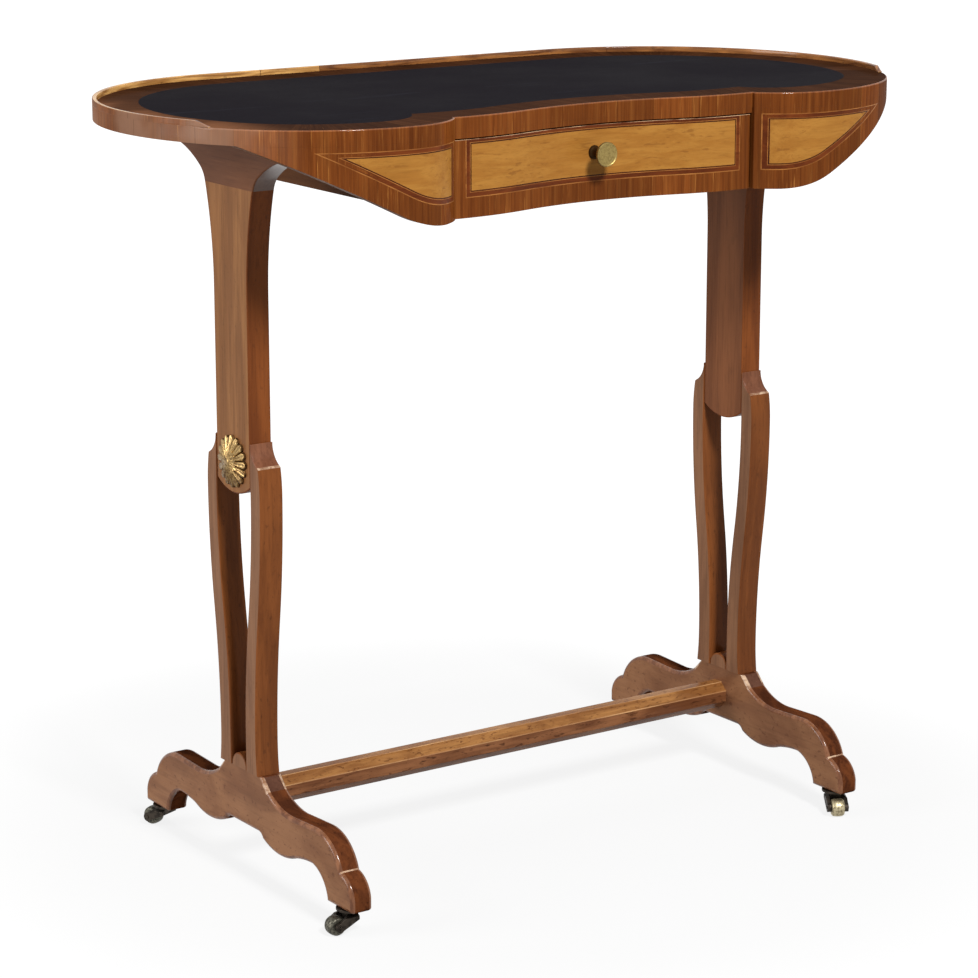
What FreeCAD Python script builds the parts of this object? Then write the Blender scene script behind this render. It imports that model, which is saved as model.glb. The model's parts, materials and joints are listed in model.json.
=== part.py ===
"""Kidney-shaped writing table on two split trestles with a stretcher and casters.

Millimetres. +Z is up, the floor is z = 0, the drawer faces -Y and the origin
lies on the floor under the middle of the top.
"""
import FreeCAD, Part
import math
import os

V = FreeCAD.Vector
os.makedirs("parts", exist_ok=True)

# Plan of the top: tangent arcs from the straight back round to the nose of each lobe
back_straight_half = 196.0
corner_radius = 201.5
end_radius = 231.0
shoulder_radius = 166.7
nose_radius = 84.0
nose_reach = 62.7
corner_turn = 55.0
end_turn = 60.8

# Hollow middle of the front, between the lobes
hollow_setback = 49.6
hollow_radius = 332.0
hollow_turn = 14.8
swell_radius = 252.7

# Top board, gallery and leather
top_height = 723.6
board_thickness = 14.2
gallery_rise = 5.2
gallery_thickness = 4.0
gallery_rebate = 3.0
gallery_end_bearing = 117.0
gallery_end_run = 14.0
leather_thickness = 1.2
leather_border = 41.5
leather_front_border = 39.5
leather_nose_radius = 50.0

# Curved aprons of the lobes
apron_thickness = 12.0
apron_drop = 75.5
apron_flat = 18.0
apron_curve_radius = 120.0
apron_turn = 26.6
veneer_thickness = 0.8
field_border = 24.0
field_side_border = 11.0
field_top_border = 10.6

# Case that carries the drawer
case_thickness = 12.0
case_lift = 2.5
back_rail_thickness = 12.0
front_rail_thickness = 5.5
front_rail_depth = 40.0
runner_width = 12.0
runner_height = 6.0
runner_end_gap = 1.0
kicker_height = 8.5
stop_length = 12.0
stop_height = 10.0

# Drawer
front_reveal = 1.3
drawer_side_gap = 1.5
drawer_top_gap = 0.6
slide_gap = 0.3
drawer_front_thickness = 18.0
drawer_length = 320.0
drawer_side_thickness = 8.0
drawer_back_thickness = 8.0
drawer_back_drop = 5.0
drawer_bottom_thickness = 4.0
drawer_bottom_lift = 4.0
groove_depth = 3.0
housing_depth = 3.0
tail_count = 3
tail_length = 14.0
tail_root_share = 0.5
tail_tip_share = 0.72
drawer_field_side_border = 18.0
drawer_field_top_border = 4.5

# Turned knob
knob_radius = 11.2
knob_face_thickness = 3.4
knob_rim_bevel = 1.0
knob_projection = 21.0
knob_neck_radius = 4.2
knob_foot_radius = 6.5
knob_foot_height = 3.0
knob_shank_radius = 2.5
knob_nut_width = 9.0
knob_nut_thickness = 3.5

# Trestles
trestle_inset = 117.8
trestle_thickness = 22.8
trestle_forward = 7.4
shaft_half = 30.0
bearer_height = 55.4
flare_length = 94.0
seam_half = 42.5
cove_radius = 24.0
cove_turn = 38.7
sweep_radius = 110.0
sweep_turn = 27.0
bearer_half = 140.0
shaft_tenon_thickness = 8.0
shaft_tenon_half = 20.0
shaft_tenon_length = 25.0
tongue_height = 372.0
tongue_radius = 49.6

# Split lower part of each trestle
branch_proud = 0.6
branch_tip = 1.5
shoulder_rise = 30.6
shoulder_half = 45.3
shoulder_cove = 22.0
belly_half = 48.0
belly_bulge = 0.8
waist_height = 140.0
waist_half = 32.5
waist_inner_half = 13.3
neck_half = 34.5
neck_bulge = 0.5
branch_tenon_thickness = 8.0
branch_side_tenon_lift = 14.0
branch_side_tenon_height = 28.0
branch_side_tenon_length = 10.0
branch_foot_tenon_width = 12.0
branch_foot_tenon_length = 20.0
spandrel_side = 3.5
spandrel_crown = 10.5

# Feet
foot_forward = 12.3
foot_half = 190.0
foot_thickness = 22.0
foot_seat_height = 108.5
pad_height = 23.6
pad_inner_half = 147.0
foot_bevel = 11.0
foot_top_shares = (
    (0.442, 0.727, -0.0163),
    (0.674, 0.750, 0.0),
    (0.895, 0.399, 0.0433),
    (1.000, 0.146, 0.0237),
)
foot_under_shares = (
    (0.642, 0.323, -0.0305),
    (0.484, 0.276, -0.0053),
    (0.179, 0.299, 0.0342),
    (0.142, 0.358, -0.0053),
)

# Stretcher
stretcher_drop = 28.4
stretcher_width = 26.8
stretcher_tenon_radius = 8.0
stretcher_tenon_length = 14.0

# Rosettes on the outer faces
rosette_lift = 30.0
rosette_radius = 24.5
rosette_notch = 2.6
rosette_base = 1.4
rosette_pleat = 1.2
rosette_crown_radius = 15.0
rosette_crown_rise = 5.6
rosette_boss_radius = 4.5
rosette_dome_rise = 6.8
rosette_boss_rise = 7.8
rosette_petals = 16

# Casters
caster_half_spacing = 169.5
caster_trail = 16.0
wheel_radius = 9.0
wheel_width = 12.6
wheel_edge = 1.4
axle_radius = 1.6
axle_head = 0.8
wheel_side_gap = 0.4
running_gap = 0.05
horn_thickness = 3.8
horn_end_radius = 4.4
crown_front = 3.6
crown_depth = 7.0
crown_half = 4.8
crown_shoulder = 3.8
crown_rim_gap = 1.5
swivel_gap = 0.4
plate_radius = 13.0
plate_thickness = 2.5
pin_radius = 2.5
pin_head_radius = 3.9
pin_head_thickness = 1.6
pin_recess_radius = 4.6
caster_bearings = {
    "front_left": 270.0,
    "back_left": 338.0,
    "front_right": 210.0,
    "back_right": 25.0,
}

# Screws that hold the bearers to the top
screw_radius = 2.2
screw_head_radius = 4.4
screw_head_thickness = 2.5
screw_grip = 12.0
screw_bite = 8.0
screw_offset = 104.0

# One overrun for every cut
overrun = 5.0

# Angles
quarter_turn = 90.0
half_turn = 2 * quarter_turn
full_turn = 2 * half_turn

# Levels that follow from the sizes above
board_low = top_height - board_thickness
seam_height = board_low - bearer_height
flare_start = seam_height - flare_length
shoulder_height = tongue_height + shoulder_rise
rosette_height = tongue_height + rosette_lift
stretcher_height = foot_seat_height - stretcher_drop
apron_low = board_low - apron_drop
case_low = apron_low + case_lift
runner_low = case_low
drawer_side_low = runner_low + runner_height + slide_gap
drawer_side_high = board_low - kicker_height - slide_gap
drawer_high = board_low - front_rail_thickness - drawer_top_gap

# Places that follow in plan
shoulder_bearing = corner_turn + end_turn


def sin(angle):
    """Sine of an angle in degrees."""
    return math.sin(math.radians(angle))


def cos(angle):
    """Cosine of an angle in degrees."""
    return math.cos(math.radians(angle))


corner_fall = (corner_radius - end_radius) * cos(corner_turn)
end_fall = (end_radius - shoulder_radius) * cos(shoulder_bearing)
half_depth = (corner_radius + shoulder_radius - corner_fall - end_fall) / 2
end_centre = back_straight_half + (corner_radius - end_radius) * sin(corner_turn)
nose_centre = end_centre + (end_radius - shoulder_radius) * sin(shoulder_bearing)
notch_half = nose_centre - nose_reach
trestle_half_spacing = end_centre + end_radius - trestle_inset
branch_thickness = trestle_thickness + 2 * branch_proud
hollow_front = hollow_setback - half_depth
drawer_back_face = hollow_front + front_reveal + drawer_front_thickness
drawer_rear = hollow_front + drawer_length
drawer_half = notch_half - drawer_side_gap
case_rear = half_depth - back_rail_thickness


def place(plane, u, v):
    """Point of a plane: plan, side (across the table) or front."""
    return {"plan": V(u, v, 0), "side": V(0, u, v), "front": V(u, 0, v)}[plane]


class Trace:
    """Walks an outline of lines and arcs in one plane."""

    def __init__(self, plane, u, v, heading=0.0):
        self.plane, self.u, self.v, self.heading = plane, u, v, heading
        self.start, self.edges = (u, v), []

    def to(self, u, v):
        """Straight edge to a point."""
        a, b = place(self.plane, self.u, self.v), place(self.plane, u, v)
        self.edges.append(Part.LineSegment(a, b).toShape())
        self.heading = math.degrees(math.atan2(v - self.v, u - self.u))
        self.u, self.v = u, v
        return self

    def arc_to(self, u, v, bulge):
        """Arc to a point, standing out by the bulge to the left of travel."""
        if bulge == 0:
            return self.to(u, v)
        span = math.hypot(u - self.u, v - self.v)
        across = (-(v - self.v) / span, (u - self.u) / span)
        middle = ((self.u + u) / 2 + across[0] * bulge, (self.v + v) / 2 + across[1] * bulge)
        points = [place(self.plane, *p) for p in ((self.u, self.v), middle, (u, v))]
        self.edges.append(Part.Arc(*points).toShape())
        self.u, self.v = u, v
        return self

    def sweep(self, radius, turn):
        """Arc that leaves along the heading and turns left, or right if negative."""
        side = math.copysign(quarter_turn, turn)
        centre = (self.u + radius * cos(self.heading + side), self.v + radius * sin(self.heading + side))
        points = []
        for part in (0, turn / 2, turn):
            angle = self.heading - side + part
            points.append((centre[0] + radius * cos(angle), centre[1] + radius * sin(angle)))
        self.edges.append(Part.Arc(*[place(self.plane, *p) for p in points]).toShape())
        self.u, self.v = points[-1]
        self.heading += turn
        return self

    def ogee(self, u, v, turn_sign):
        """Two equal arcs to a point, upright at both ends."""
        across, along = abs(u - self.u), abs(v - self.v)
        radius = (across ** 2 + along ** 2) / (4 * across)
        turn = math.degrees(2 * math.atan2(across, along))
        return self.sweep(radius, turn_sign * turn).sweep(radius, -turn_sign * turn)

    def close(self):
        """Straight edge back to the start."""
        return self.to(*self.start)

    def face(self):
        """Face inside the outline."""
        return face_of(self.edges)

    def mirrored_face(self):
        """Face of the outline and its mirror image across u = 0."""
        axis = V(1, 0, 0) if self.plane != "side" else V(0, 1, 0)
        return face_of(self.edges + [edge.mirror(V(0, 0, 0), axis) for edge in self.edges])


def face_of(edges):
    """Face inside loose edges that meet end to end."""
    return Part.Face(Part.Wire(Part.sortEdges(edges)[0]))


def block(x0, x1, y0, y1, z0, z1):
    """Box between two corners."""
    return Part.makeBox(x1 - x0, y1 - y0, z1 - z0, V(x0, y0, z0))


def upright(face, z0, z1):
    """Plan face made solid between two levels."""
    solid = face.extrude(V(0, 0, z1 - z0))
    solid.translate(V(0, 0, z0))
    return solid


def slab(face, x, thickness):
    """Side face made solid about a plane across the table."""
    solid = face.extrude(V(thickness, 0, 0))
    solid.translate(V(x - thickness / 2, 0, 0))
    return solid


def rod(radius, start, direction, length):
    """Round bar from a point along a direction."""
    return Part.makeCylinder(radius, length, start, direction)


def mirror(shape):
    """Mirror image of a shape from right to left."""
    return shape.mirror(V(0, 0, 0), V(1, 0, 0))


def at_bearing(centre, radius, bearing):
    """Plan point of a circle, with the bearing taken from the back towards the right."""
    return V(centre.x + radius * sin(bearing), centre.y + radius * cos(bearing), 0)


def plan_arc(centre, radius, first, last):
    """Plan arc between two bearings."""
    points = [at_bearing(centre, radius, b) for b in (first, (first + last) / 2, last)]
    return Part.Arc(*points).toShape()


def plan_line(a, b):
    """Plan edge between two points."""
    return Part.LineSegment(a, b).toShape()


def plan_centres():
    """Centres of the corner, end, shoulder and nose arcs of the right half."""
    corner = V(back_straight_half, half_depth - corner_radius, 0)
    end = at_bearing(corner, corner_radius - end_radius, corner_turn)
    shoulder = at_bearing(end, end_radius - shoulder_radius, shoulder_bearing)
    nose = V(shoulder.x, nose_radius - half_depth, 0)
    return corner, end, shoulder, nose


def nose_bearing(radius, stop):
    """Bearing at which the nose arc reaches the plane x = stop."""
    nose = plan_centres()[-1]
    return half_turn + math.degrees(math.asin((nose.x - stop) / radius))


def flank_edges(inset):
    """Back, corner, end and shoulder edges of the right half, drawn in by the inset."""
    corner, end, shoulder, nose = plan_centres()
    first = at_bearing(corner, corner_radius - inset, 0)
    return [
        plan_line(V(0, first.y, 0), first),
        plan_arc(corner, corner_radius - inset, 0, corner_turn),
        plan_arc(end, end_radius - inset, corner_turn, shoulder_bearing),
        plan_arc(shoulder, shoulder_radius - inset, shoulder_bearing, half_turn),
    ]


def swell_centre():
    """Centre of the right-hand swell where the hollow runs out."""
    hollow = V(0, hollow_front - hollow_radius, 0)
    return hollow, at_bearing(hollow, hollow_radius + swell_radius, hollow_turn)


def hollow_edges(inset, stop_bearing):
    """Hollow and swell edges of the right half of the front, drawn in by the inset."""
    hollow, swell = swell_centre()
    return [
        plan_arc(hollow, hollow_radius + inset, 0, hollow_turn),
        plan_arc(swell, swell_radius - inset, half_turn + hollow_turn, stop_bearing),
    ]


def swell_bearing(radius, stop):
    """Bearing at which the swell arc reaches the plane x = stop."""
    return half_turn - math.degrees(math.asin((stop - swell_centre()[1].x) / radius))


def hollow_end(half_width, inset):
    """End of the swell arc at a half width."""
    radius = swell_radius - inset
    return at_bearing(swell_centre()[1], radius, swell_bearing(radius, half_width))


def symmetric_face(edges):
    """Face of right-half edges and their mirror images."""
    return face_of(edges + [mirror(edge) for edge in edges])


def kidney_face(inset):
    """Whole plan of the top, drawn in by the inset."""
    nose, radius = plan_centres()[-1], nose_radius - inset
    bearing = nose_bearing(radius, notch_half)
    swell_stop = swell_bearing(swell_radius - inset, notch_half)
    edges = flank_edges(inset) + [plan_arc(nose, radius, half_turn, bearing)]
    edges.append(plan_line(at_bearing(nose, radius, bearing), hollow_end(notch_half, inset)))
    return symmetric_face(edges + hollow_edges(inset, swell_stop))


def circle_meet(first, first_radius, second, second_radius):
    """Bearings, from each centre, of the front crossing of two circles."""
    span = second.sub(first)
    gap = span.Length
    along = (gap ** 2 + first_radius ** 2 - second_radius ** 2) / (2 * gap)
    rise = math.sqrt(first_radius ** 2 - along ** 2)
    unit = V(span.x / gap, span.y / gap, 0)
    sides = [first + unit * along + V(unit.y, -unit.x, 0) * r for r in (rise, -rise)]
    point = min(sides, key=lambda p: p.y)
    return [math.degrees(math.atan2(point.x - c.x, point.y - c.y)) % full_turn for c in (first, second)]


def leather_face():
    """Plan of the leather: an even border, with a cusp where lobe and hollow meet."""
    nose = V(nose_centre, leather_border + leather_nose_radius - half_depth, 0)
    swell = swell_centre()[1]
    inner_swell_radius = swell_radius - leather_front_border
    at_nose, at_swell = circle_meet(nose, leather_nose_radius, swell, inner_swell_radius)
    edges = flank_edges(leather_border) + [plan_arc(nose, leather_nose_radius, half_turn, at_nose)]
    return symmetric_face(edges + hollow_edges(leather_front_border, at_swell))


def rim_face(outer_inset):
    """Plan of the gallery round the back and ends, out to an inset of the board's edge."""
    corner, end, shoulder, nose = plan_centres()
    edges, stops = [], []
    for inset in (outer_inset, gallery_thickness):
        edges.append(plan_line(V(0, half_depth - inset, 0), at_bearing(corner, corner_radius - inset, 0)))
        edges.append(plan_arc(corner, corner_radius - inset, 0, corner_turn))
        edges.append(plan_arc(end, end_radius - inset, corner_turn, gallery_end_bearing))
        stops.append(at_bearing(end, end_radius - inset, gallery_end_bearing))
    return symmetric_face(edges + [plan_line(*stops)])


def gallery_end_cutter():
    """Cutter that slopes the right-hand end of the gallery down to the board."""
    high = top_height + gallery_rise
    slope = Trace("front", 0, top_height).to(gallery_end_run, high).to(gallery_end_run, high + overrun)
    slope.to(-overrun, high + overrun).to(-overrun, top_height).close()
    wedge = slope.face().extrude(V(0, gallery_thickness + 2 * overrun, 0))
    wedge.translate(V(0, -gallery_thickness - overrun, 0))
    wedge.rotate(V(0, 0, 0), V(0, 0, 1), quarter_turn - gallery_end_bearing)
    wedge.translate(at_bearing(plan_centres()[1], end_radius, gallery_end_bearing))
    return wedge


def gallery():
    """Low rim round the back and ends, sloped down where it stops."""
    rim = upright(rim_face(0), top_height - gallery_rebate, top_height + gallery_rise)
    return rim.cut(gallery_end_cutter()).cut(mirror(gallery_end_cutter()))


def gallery_seat():
    """Rebate in the board that the gallery stands in."""
    return upright(rim_face(-overrun), top_height - gallery_rebate, top_height + overrun)


def writing_leather():
    """Leather skin let into the board."""
    return upright(leather_face(), top_height - leather_thickness, top_height)


def top_board():
    """Kidney-shaped board with the leather recess, the gallery rebate and the screw holes."""
    board = upright(kidney_face(0), board_low, top_height)
    board = board.cut(upright(leather_face(), top_height - leather_thickness, top_height + overrun))
    return board.cut(gallery_seat()).cut(screw_shanks())


def apron_profile(border, side_border, high):
    """Front view of the right apron, drawn in from its lower edge and its notch end."""
    start = notch_half + side_border
    radius = apron_curve_radius - border
    path = Trace("front", start, apron_low + border).to(notch_half + apron_flat, apron_low + border)
    path.sweep(radius, apron_turn)
    path.to(path.u + (high - path.v) / math.tan(math.radians(apron_turn)), high)
    return path.to(start, high).close()


def apron_band(thickness):
    """Curved wall along the right lobe, from the notch round to the end of the table."""
    corner, end, shoulder, nose = plan_centres()
    edges, tips, tails = [], [], []
    for inset in (0, thickness):
        bearing = nose_bearing(nose_radius - inset, notch_half)
        edges.append(plan_arc(shoulder, shoulder_radius - inset, shoulder_bearing, half_turn))
        edges.append(plan_arc(nose, nose_radius - inset, half_turn, bearing))
        tips.append(at_bearing(nose, nose_radius - inset, bearing))
        tails.append(at_bearing(shoulder, shoulder_radius - inset, shoulder_bearing))
    return upright(face_of(edges + [plan_line(*tips), plan_line(*tails)]), apron_low, board_low)


def front_prism(path):
    """Front outline run through the whole depth of the table."""
    solid = path.face().extrude(V(0, 2 * half_depth, 0))
    solid.translate(V(0, -half_depth - overrun, 0))
    return solid


def apron_field():
    """Light veneer field of the right apron."""
    outline = apron_profile(field_border, field_side_border, board_low - field_top_border)
    return apron_band(veneer_thickness).common(front_prism(outline))


def apron():
    """Right apron with its swept lower edge and the recess for the veneer field."""
    wall = apron_band(apron_thickness).common(front_prism(apron_profile(0, 0, board_low)))
    return wall.cut(apron_field())


def case_side():
    """Right side of the drawer case, butted to the inside of the apron."""
    board = block(notch_half, notch_half + case_thickness, -half_depth, case_rear, case_low, board_low)
    return board.common(upright(kidney_face(apron_thickness), case_low, board_low))


def back_rail():
    """Rail that closes the case at the back."""
    half = notch_half + case_thickness
    return block(-half, half, case_rear, half_depth, case_low, board_low)


def front_piece(half_width, inset, rear, z0, z1):
    """Solid behind the hollow front, out to a half width and back to a plane."""
    edges = hollow_edges(inset, swell_bearing(swell_radius - inset, half_width))
    edges.append(plan_line(hollow_end(half_width, inset), V(half_width, rear, 0)))
    edges.append(plan_line(V(half_width, rear, 0), V(0, rear, 0)))
    return upright(symmetric_face(edges), z0, z1)


def front_rail():
    """Thin rail between the drawer and the board."""
    rear = hollow_front + front_rail_depth
    return front_piece(notch_half, 0, rear, board_low - front_rail_thickness, board_low)


def runner():
    """Right runner under the drawer side."""
    inner, front = notch_half - runner_width, drawer_back_face + runner_end_gap
    return block(inner, notch_half, front, case_rear, runner_low, runner_low + runner_height)


def kicker():
    """Right kicker over the drawer side, behind the front rail."""
    inner, front = notch_half - runner_width, hollow_front + front_rail_depth
    return block(inner, notch_half, front, case_rear, board_low - kicker_height, board_low)


def drawer_stops():
    """Blocks on the runners that stop the drawer flush with the front."""
    low, front = runner_low + runner_height, drawer_rear + slide_gap
    stop = block(notch_half - runner_width, notch_half, front, front + stop_length, low, low + stop_height)
    return Part.makeCompound([stop, mirror(stop)])


def drawer_tails():
    """Dovetails on the front end of the right drawer side."""
    pitch = (drawer_side_high - drawer_side_low) / tail_count
    tails = []
    for index in range(tail_count):
        middle = drawer_side_low + pitch * (index + 1 / 2)
        root, tip = pitch * tail_root_share / 2, pitch * tail_tip_share / 2
        path = Trace("side", drawer_back_face, middle - root)
        path.to(drawer_back_face - tail_length, middle - tip)
        path.to(drawer_back_face - tail_length, middle + tip)
        path.to(drawer_back_face, middle + root).close()
        tails.append(slab(path.face(), drawer_half - drawer_side_thickness / 2, drawer_side_thickness))
    return tails


def drawer_bottom():
    """Thin bottom, grooved into the front and the sides, under the back."""
    half, front = drawer_half - drawer_side_thickness + groove_depth, drawer_back_face - groove_depth
    low = drawer_side_low + drawer_bottom_lift
    return block(-half, half, front, drawer_rear, low, low + drawer_bottom_thickness)


def drawer_side():
    """Right drawer side with its dovetails, the bottom groove and the housing of the back."""
    inner = drawer_half - drawer_side_thickness
    side = block(inner, drawer_half, drawer_back_face, drawer_rear, drawer_side_low, drawer_side_high)
    for tail in drawer_tails():
        side = side.fuse(tail)
    return side.removeSplitter().cut(drawer_bottom()).cut(drawer_back())


def drawer_back():
    """Drawer back, housed in the sides and standing on the bottom."""
    half = drawer_half - drawer_side_thickness + housing_depth
    rear = drawer_rear - drawer_back_thickness
    low = drawer_side_low + drawer_bottom_lift + drawer_bottom_thickness
    high = drawer_side_high - drawer_back_drop
    return block(-half, half, rear - drawer_back_thickness, rear, low, high)


def drawer_field():
    """Light veneer field let into the drawer front."""
    half = drawer_half - drawer_field_side_border
    low, high = apron_low + field_border, drawer_high - drawer_field_top_border
    field = front_piece(drawer_half, front_reveal, drawer_back_face, low, high)
    shifted = field.copy()
    shifted.translate(V(0, veneer_thickness, 0))
    field = field.cut(shifted).cut(knob_hole())
    return field.common(block(-half, half, -half_depth, drawer_back_face - overrun, apron_low, drawer_high))


def drawer_front():
    """Hollow-fronted drawer front with dovetail sockets, the groove and the knob hole."""
    front = front_piece(drawer_half, front_reveal, drawer_back_face, apron_low, drawer_high)
    for tail in drawer_tails():
        front = front.cut(tail).cut(mirror(tail))
    return front.cut(drawer_bottom()).cut(drawer_field()).cut(knob_hole())


def knob_level():
    """Height of the knob: the middle of the veneer field."""
    return (apron_low + field_border + drawer_high - drawer_field_top_border) / 2


def knob_hole():
    """Hole for the shank of the knob, from the front to the middle of the table."""
    return rod(knob_shank_radius, V(0, -half_depth, knob_level()), V(0, 1, 0), half_depth)


def drawer_knob():
    """Turned knob: flat face with a bevelled rim, waisted neck, foot and shank."""
    face, back = knob_projection, knob_projection - knob_face_thickness
    path = Trace("front", 0, face).to(knob_radius - knob_rim_bevel, face)
    path.to(knob_radius, face - knob_rim_bevel).to(knob_radius, back)
    path.to(knob_neck_radius, back - knob_rim_bevel).to(knob_neck_radius, knob_foot_height)
    path.to(knob_foot_radius, 0).to(knob_shank_radius, 0)
    path.to(knob_shank_radius, -drawer_front_thickness - knob_nut_thickness - knob_rim_bevel)
    path.to(0, -drawer_front_thickness - knob_nut_thickness - knob_rim_bevel).close()
    knob = path.face().revolve(V(0, 0, 0), V(0, 0, 1), full_turn)
    knob.rotate(V(0, 0, 0), V(1, 0, 0), quarter_turn)
    knob.translate(V(0, hollow_front + front_reveal, knob_level()))
    return knob


def knob_nut():
    """Square nut behind the drawer front."""
    half = knob_nut_width / 2
    rear, level = drawer_back_face + knob_nut_thickness, knob_level()
    return block(-half, half, drawer_back_face, rear, level - half, level + half).cut(knob_hole())


def flare_turn():
    """Lean of the shaft side where it meets the bearer."""
    return 2 * math.degrees(math.atan2(seam_half - shaft_half, seam_height - flare_start))


def shaft_tenon():
    """Tenon from the shaft up into the bearer."""
    half, thick = shaft_tenon_half, shaft_tenon_thickness / 2
    return block(-thick, thick, -half, half, seam_height, seam_height + shaft_tenon_length)


def bearer():
    """Flared head of a trestle, which carries the top."""
    path = Trace("side", 0, seam_height).to(seam_half, seam_height)
    path.heading = quarter_turn - flare_turn()
    path.sweep(cove_radius, -cove_turn).sweep(sweep_radius, -sweep_turn)
    slope = math.tan(math.radians(path.heading))
    path.to(bearer_half, path.v + (bearer_half - path.u) * slope).to(bearer_half, board_low).to(0, board_low)
    return slab(path.mirrored_face(), 0, trestle_thickness).cut(shaft_tenon())


def shaft():
    """Trestle shaft with its round tongue, flared head and tenon."""
    path = Trace("side", 0, tongue_height)
    path.sweep(tongue_radius, math.degrees(math.asin(shaft_half / tongue_radius)))
    path.to(shaft_half, flare_start)
    rise, run = seam_height - flare_start, seam_half - shaft_half
    path.sweep((rise ** 2 + run ** 2) / (2 * run), -flare_turn()).to(0, seam_height)
    solid = slab(path.mirrored_face(), 0, trestle_thickness).fuse(shaft_tenon()).removeSplitter()
    return solid.cut(branch_side_tenon()).cut(branch_side_tenon(-1))


def branch_side_tenon(side=1):
    """Tenon from the head of a branch into the shaft."""
    thick, low = branch_tenon_thickness / 2, tongue_height + branch_side_tenon_lift
    ends = sorted((side * (shaft_half - branch_side_tenon_length), side * shaft_half))
    return block(-thick, thick, *ends, low, low + branch_side_tenon_height)


def branch_foot_tenon(side=1):
    """Tenon from the bottom of a branch into the foot."""
    thick, middle = branch_tenon_thickness / 2, side * (waist_inner_half + neck_half) / 2
    half, low = branch_foot_tenon_width / 2, foot_seat_height - branch_foot_tenon_length
    return block(-thick, thick, middle - half, middle + half, low, foot_seat_height)


def branch():
    """Curved back branch of a trestle, with its tenons."""
    tip = shaft_half + branch_tip
    cove_turn_down = math.degrees(math.acos(1 - (shoulder_half - tip) / shoulder_cove))
    tip_height = shoulder_height + shoulder_cove * sin(cove_turn_down)
    path = Trace("side", shaft_half, tip_height).to(tip, tip_height)
    path.heading = -quarter_turn
    path.sweep(shoulder_cove, cove_turn_down)
    path.arc_to(belly_half, tongue_height, belly_bulge)
    path.heading = -quarter_turn
    path.ogee(waist_half, waist_height, -1)
    path.arc_to(neck_half, foot_seat_height, -neck_bulge)
    path.to(waist_inner_half, foot_seat_height).to(waist_inner_half, waist_height)
    path.heading = quarter_turn
    path.ogee(shaft_half, tongue_height, -1).close()
    solid = slab(path.face(), 0, branch_thickness)
    return solid.fuse(branch_side_tenon()).fuse(branch_foot_tenon()).removeSplitter()


def spandrel():
    """Small block with a round crown between the feet of the branches."""
    half, corner = waist_inner_half, foot_seat_height + spandrel_side
    path = Trace("side", -half, foot_seat_height).to(half, foot_seat_height).to(half, corner)
    path.arc_to(-half, corner, -spandrel_crown).close()
    return slab(path.face(), 0, trestle_thickness)


def foot_point(row):
    """Place on the foot outline from its shares of the half length and of the height."""
    return foot_half * row[0], pad_height + (foot_seat_height - pad_height) * row[1]


def foot():
    """Shaped foot with its seat, knees, toes and scrolled underside."""
    seat = neck_half
    path = Trace("side", 0, foot_seat_height).to(seat, foot_seat_height)
    path.to(seat + foot_bevel, foot_seat_height - foot_bevel)
    for row in foot_top_shares:
        path.arc_to(*foot_point(row), foot_half * row[2])
    path.to(foot_half, pad_height).to(pad_inner_half, pad_height)
    for row in foot_under_shares:
        path.arc_to(*foot_point(row), foot_half * row[2])
    path.to(0, path.v)
    solid = slab(path.mirrored_face(), 0, foot_thickness)
    shift = V(0, trestle_forward - foot_forward, 0)
    solid.translate(shift)
    for side in (1, -1):
        axis = V(0, side * caster_half_spacing, 0) + shift
        solid = solid.cut(branch_foot_tenon(side))
        solid = solid.cut(rod(pin_recess_radius, axis, V(0, 0, 1), pin_top() + swivel_gap))
    return solid.cut(stretcher_tenon())


def pin_top():
    """Top of the riveted swivel pins, inside the feet."""
    return pad_height + swivel_gap + pin_head_thickness


def stretcher_tenon():
    """Round tenon of the stretcher, in the right foot, pointing outwards."""
    start = V(-foot_thickness / 2, 0, stretcher_height)
    return rod(stretcher_tenon_radius, start, V(1, 0, 0), stretcher_tenon_length)


def trestle_place(shape, side):
    """Moves a piece made about the origin to the right (1) or left (-1) trestle."""
    moved = shape.copy()
    moved.translate(V(trestle_half_spacing, -trestle_forward, 0))
    return moved if side > 0 else mirror(moved)


def stretcher():
    """Eight-sided stretcher between the feet, with a round tenon at each end."""
    half, length = stretcher_width / 2, trestle_half_spacing - foot_thickness / 2
    corner = half * math.tan(math.radians(half_turn / 8))
    path = Trace("side", half, -corner).to(half, corner).to(corner, half).to(-corner, half)
    path.to(-half, corner).to(-half, -corner).to(-corner, -half).to(corner, -half).close()
    bar = path.face().extrude(V(2 * length, 0, 0))
    bar.translate(V(-length, -trestle_forward, stretcher_height))
    tenon = trestle_place(stretcher_tenon(), 1)
    return bar.fuse(tenon).fuse(mirror(tenon))


def rosette_rings():
    """Rings of the rosette from its back edge to its boss, as radius and height of ridge and valley."""
    rim, tip = rosette_radius - rosette_notch, rosette_radius
    pleat = rosette_pleat
    return [
        ((tip, 0), (rim, 0)),
        ((tip, rosette_base), (rim, rosette_base)),
        ((rosette_crown_radius, rosette_crown_rise), (rosette_crown_radius, rosette_crown_rise - pleat)),
        ((rosette_boss_radius, rosette_dome_rise), (rosette_boss_radius, rosette_dome_rise - pleat)),
    ]


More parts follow.
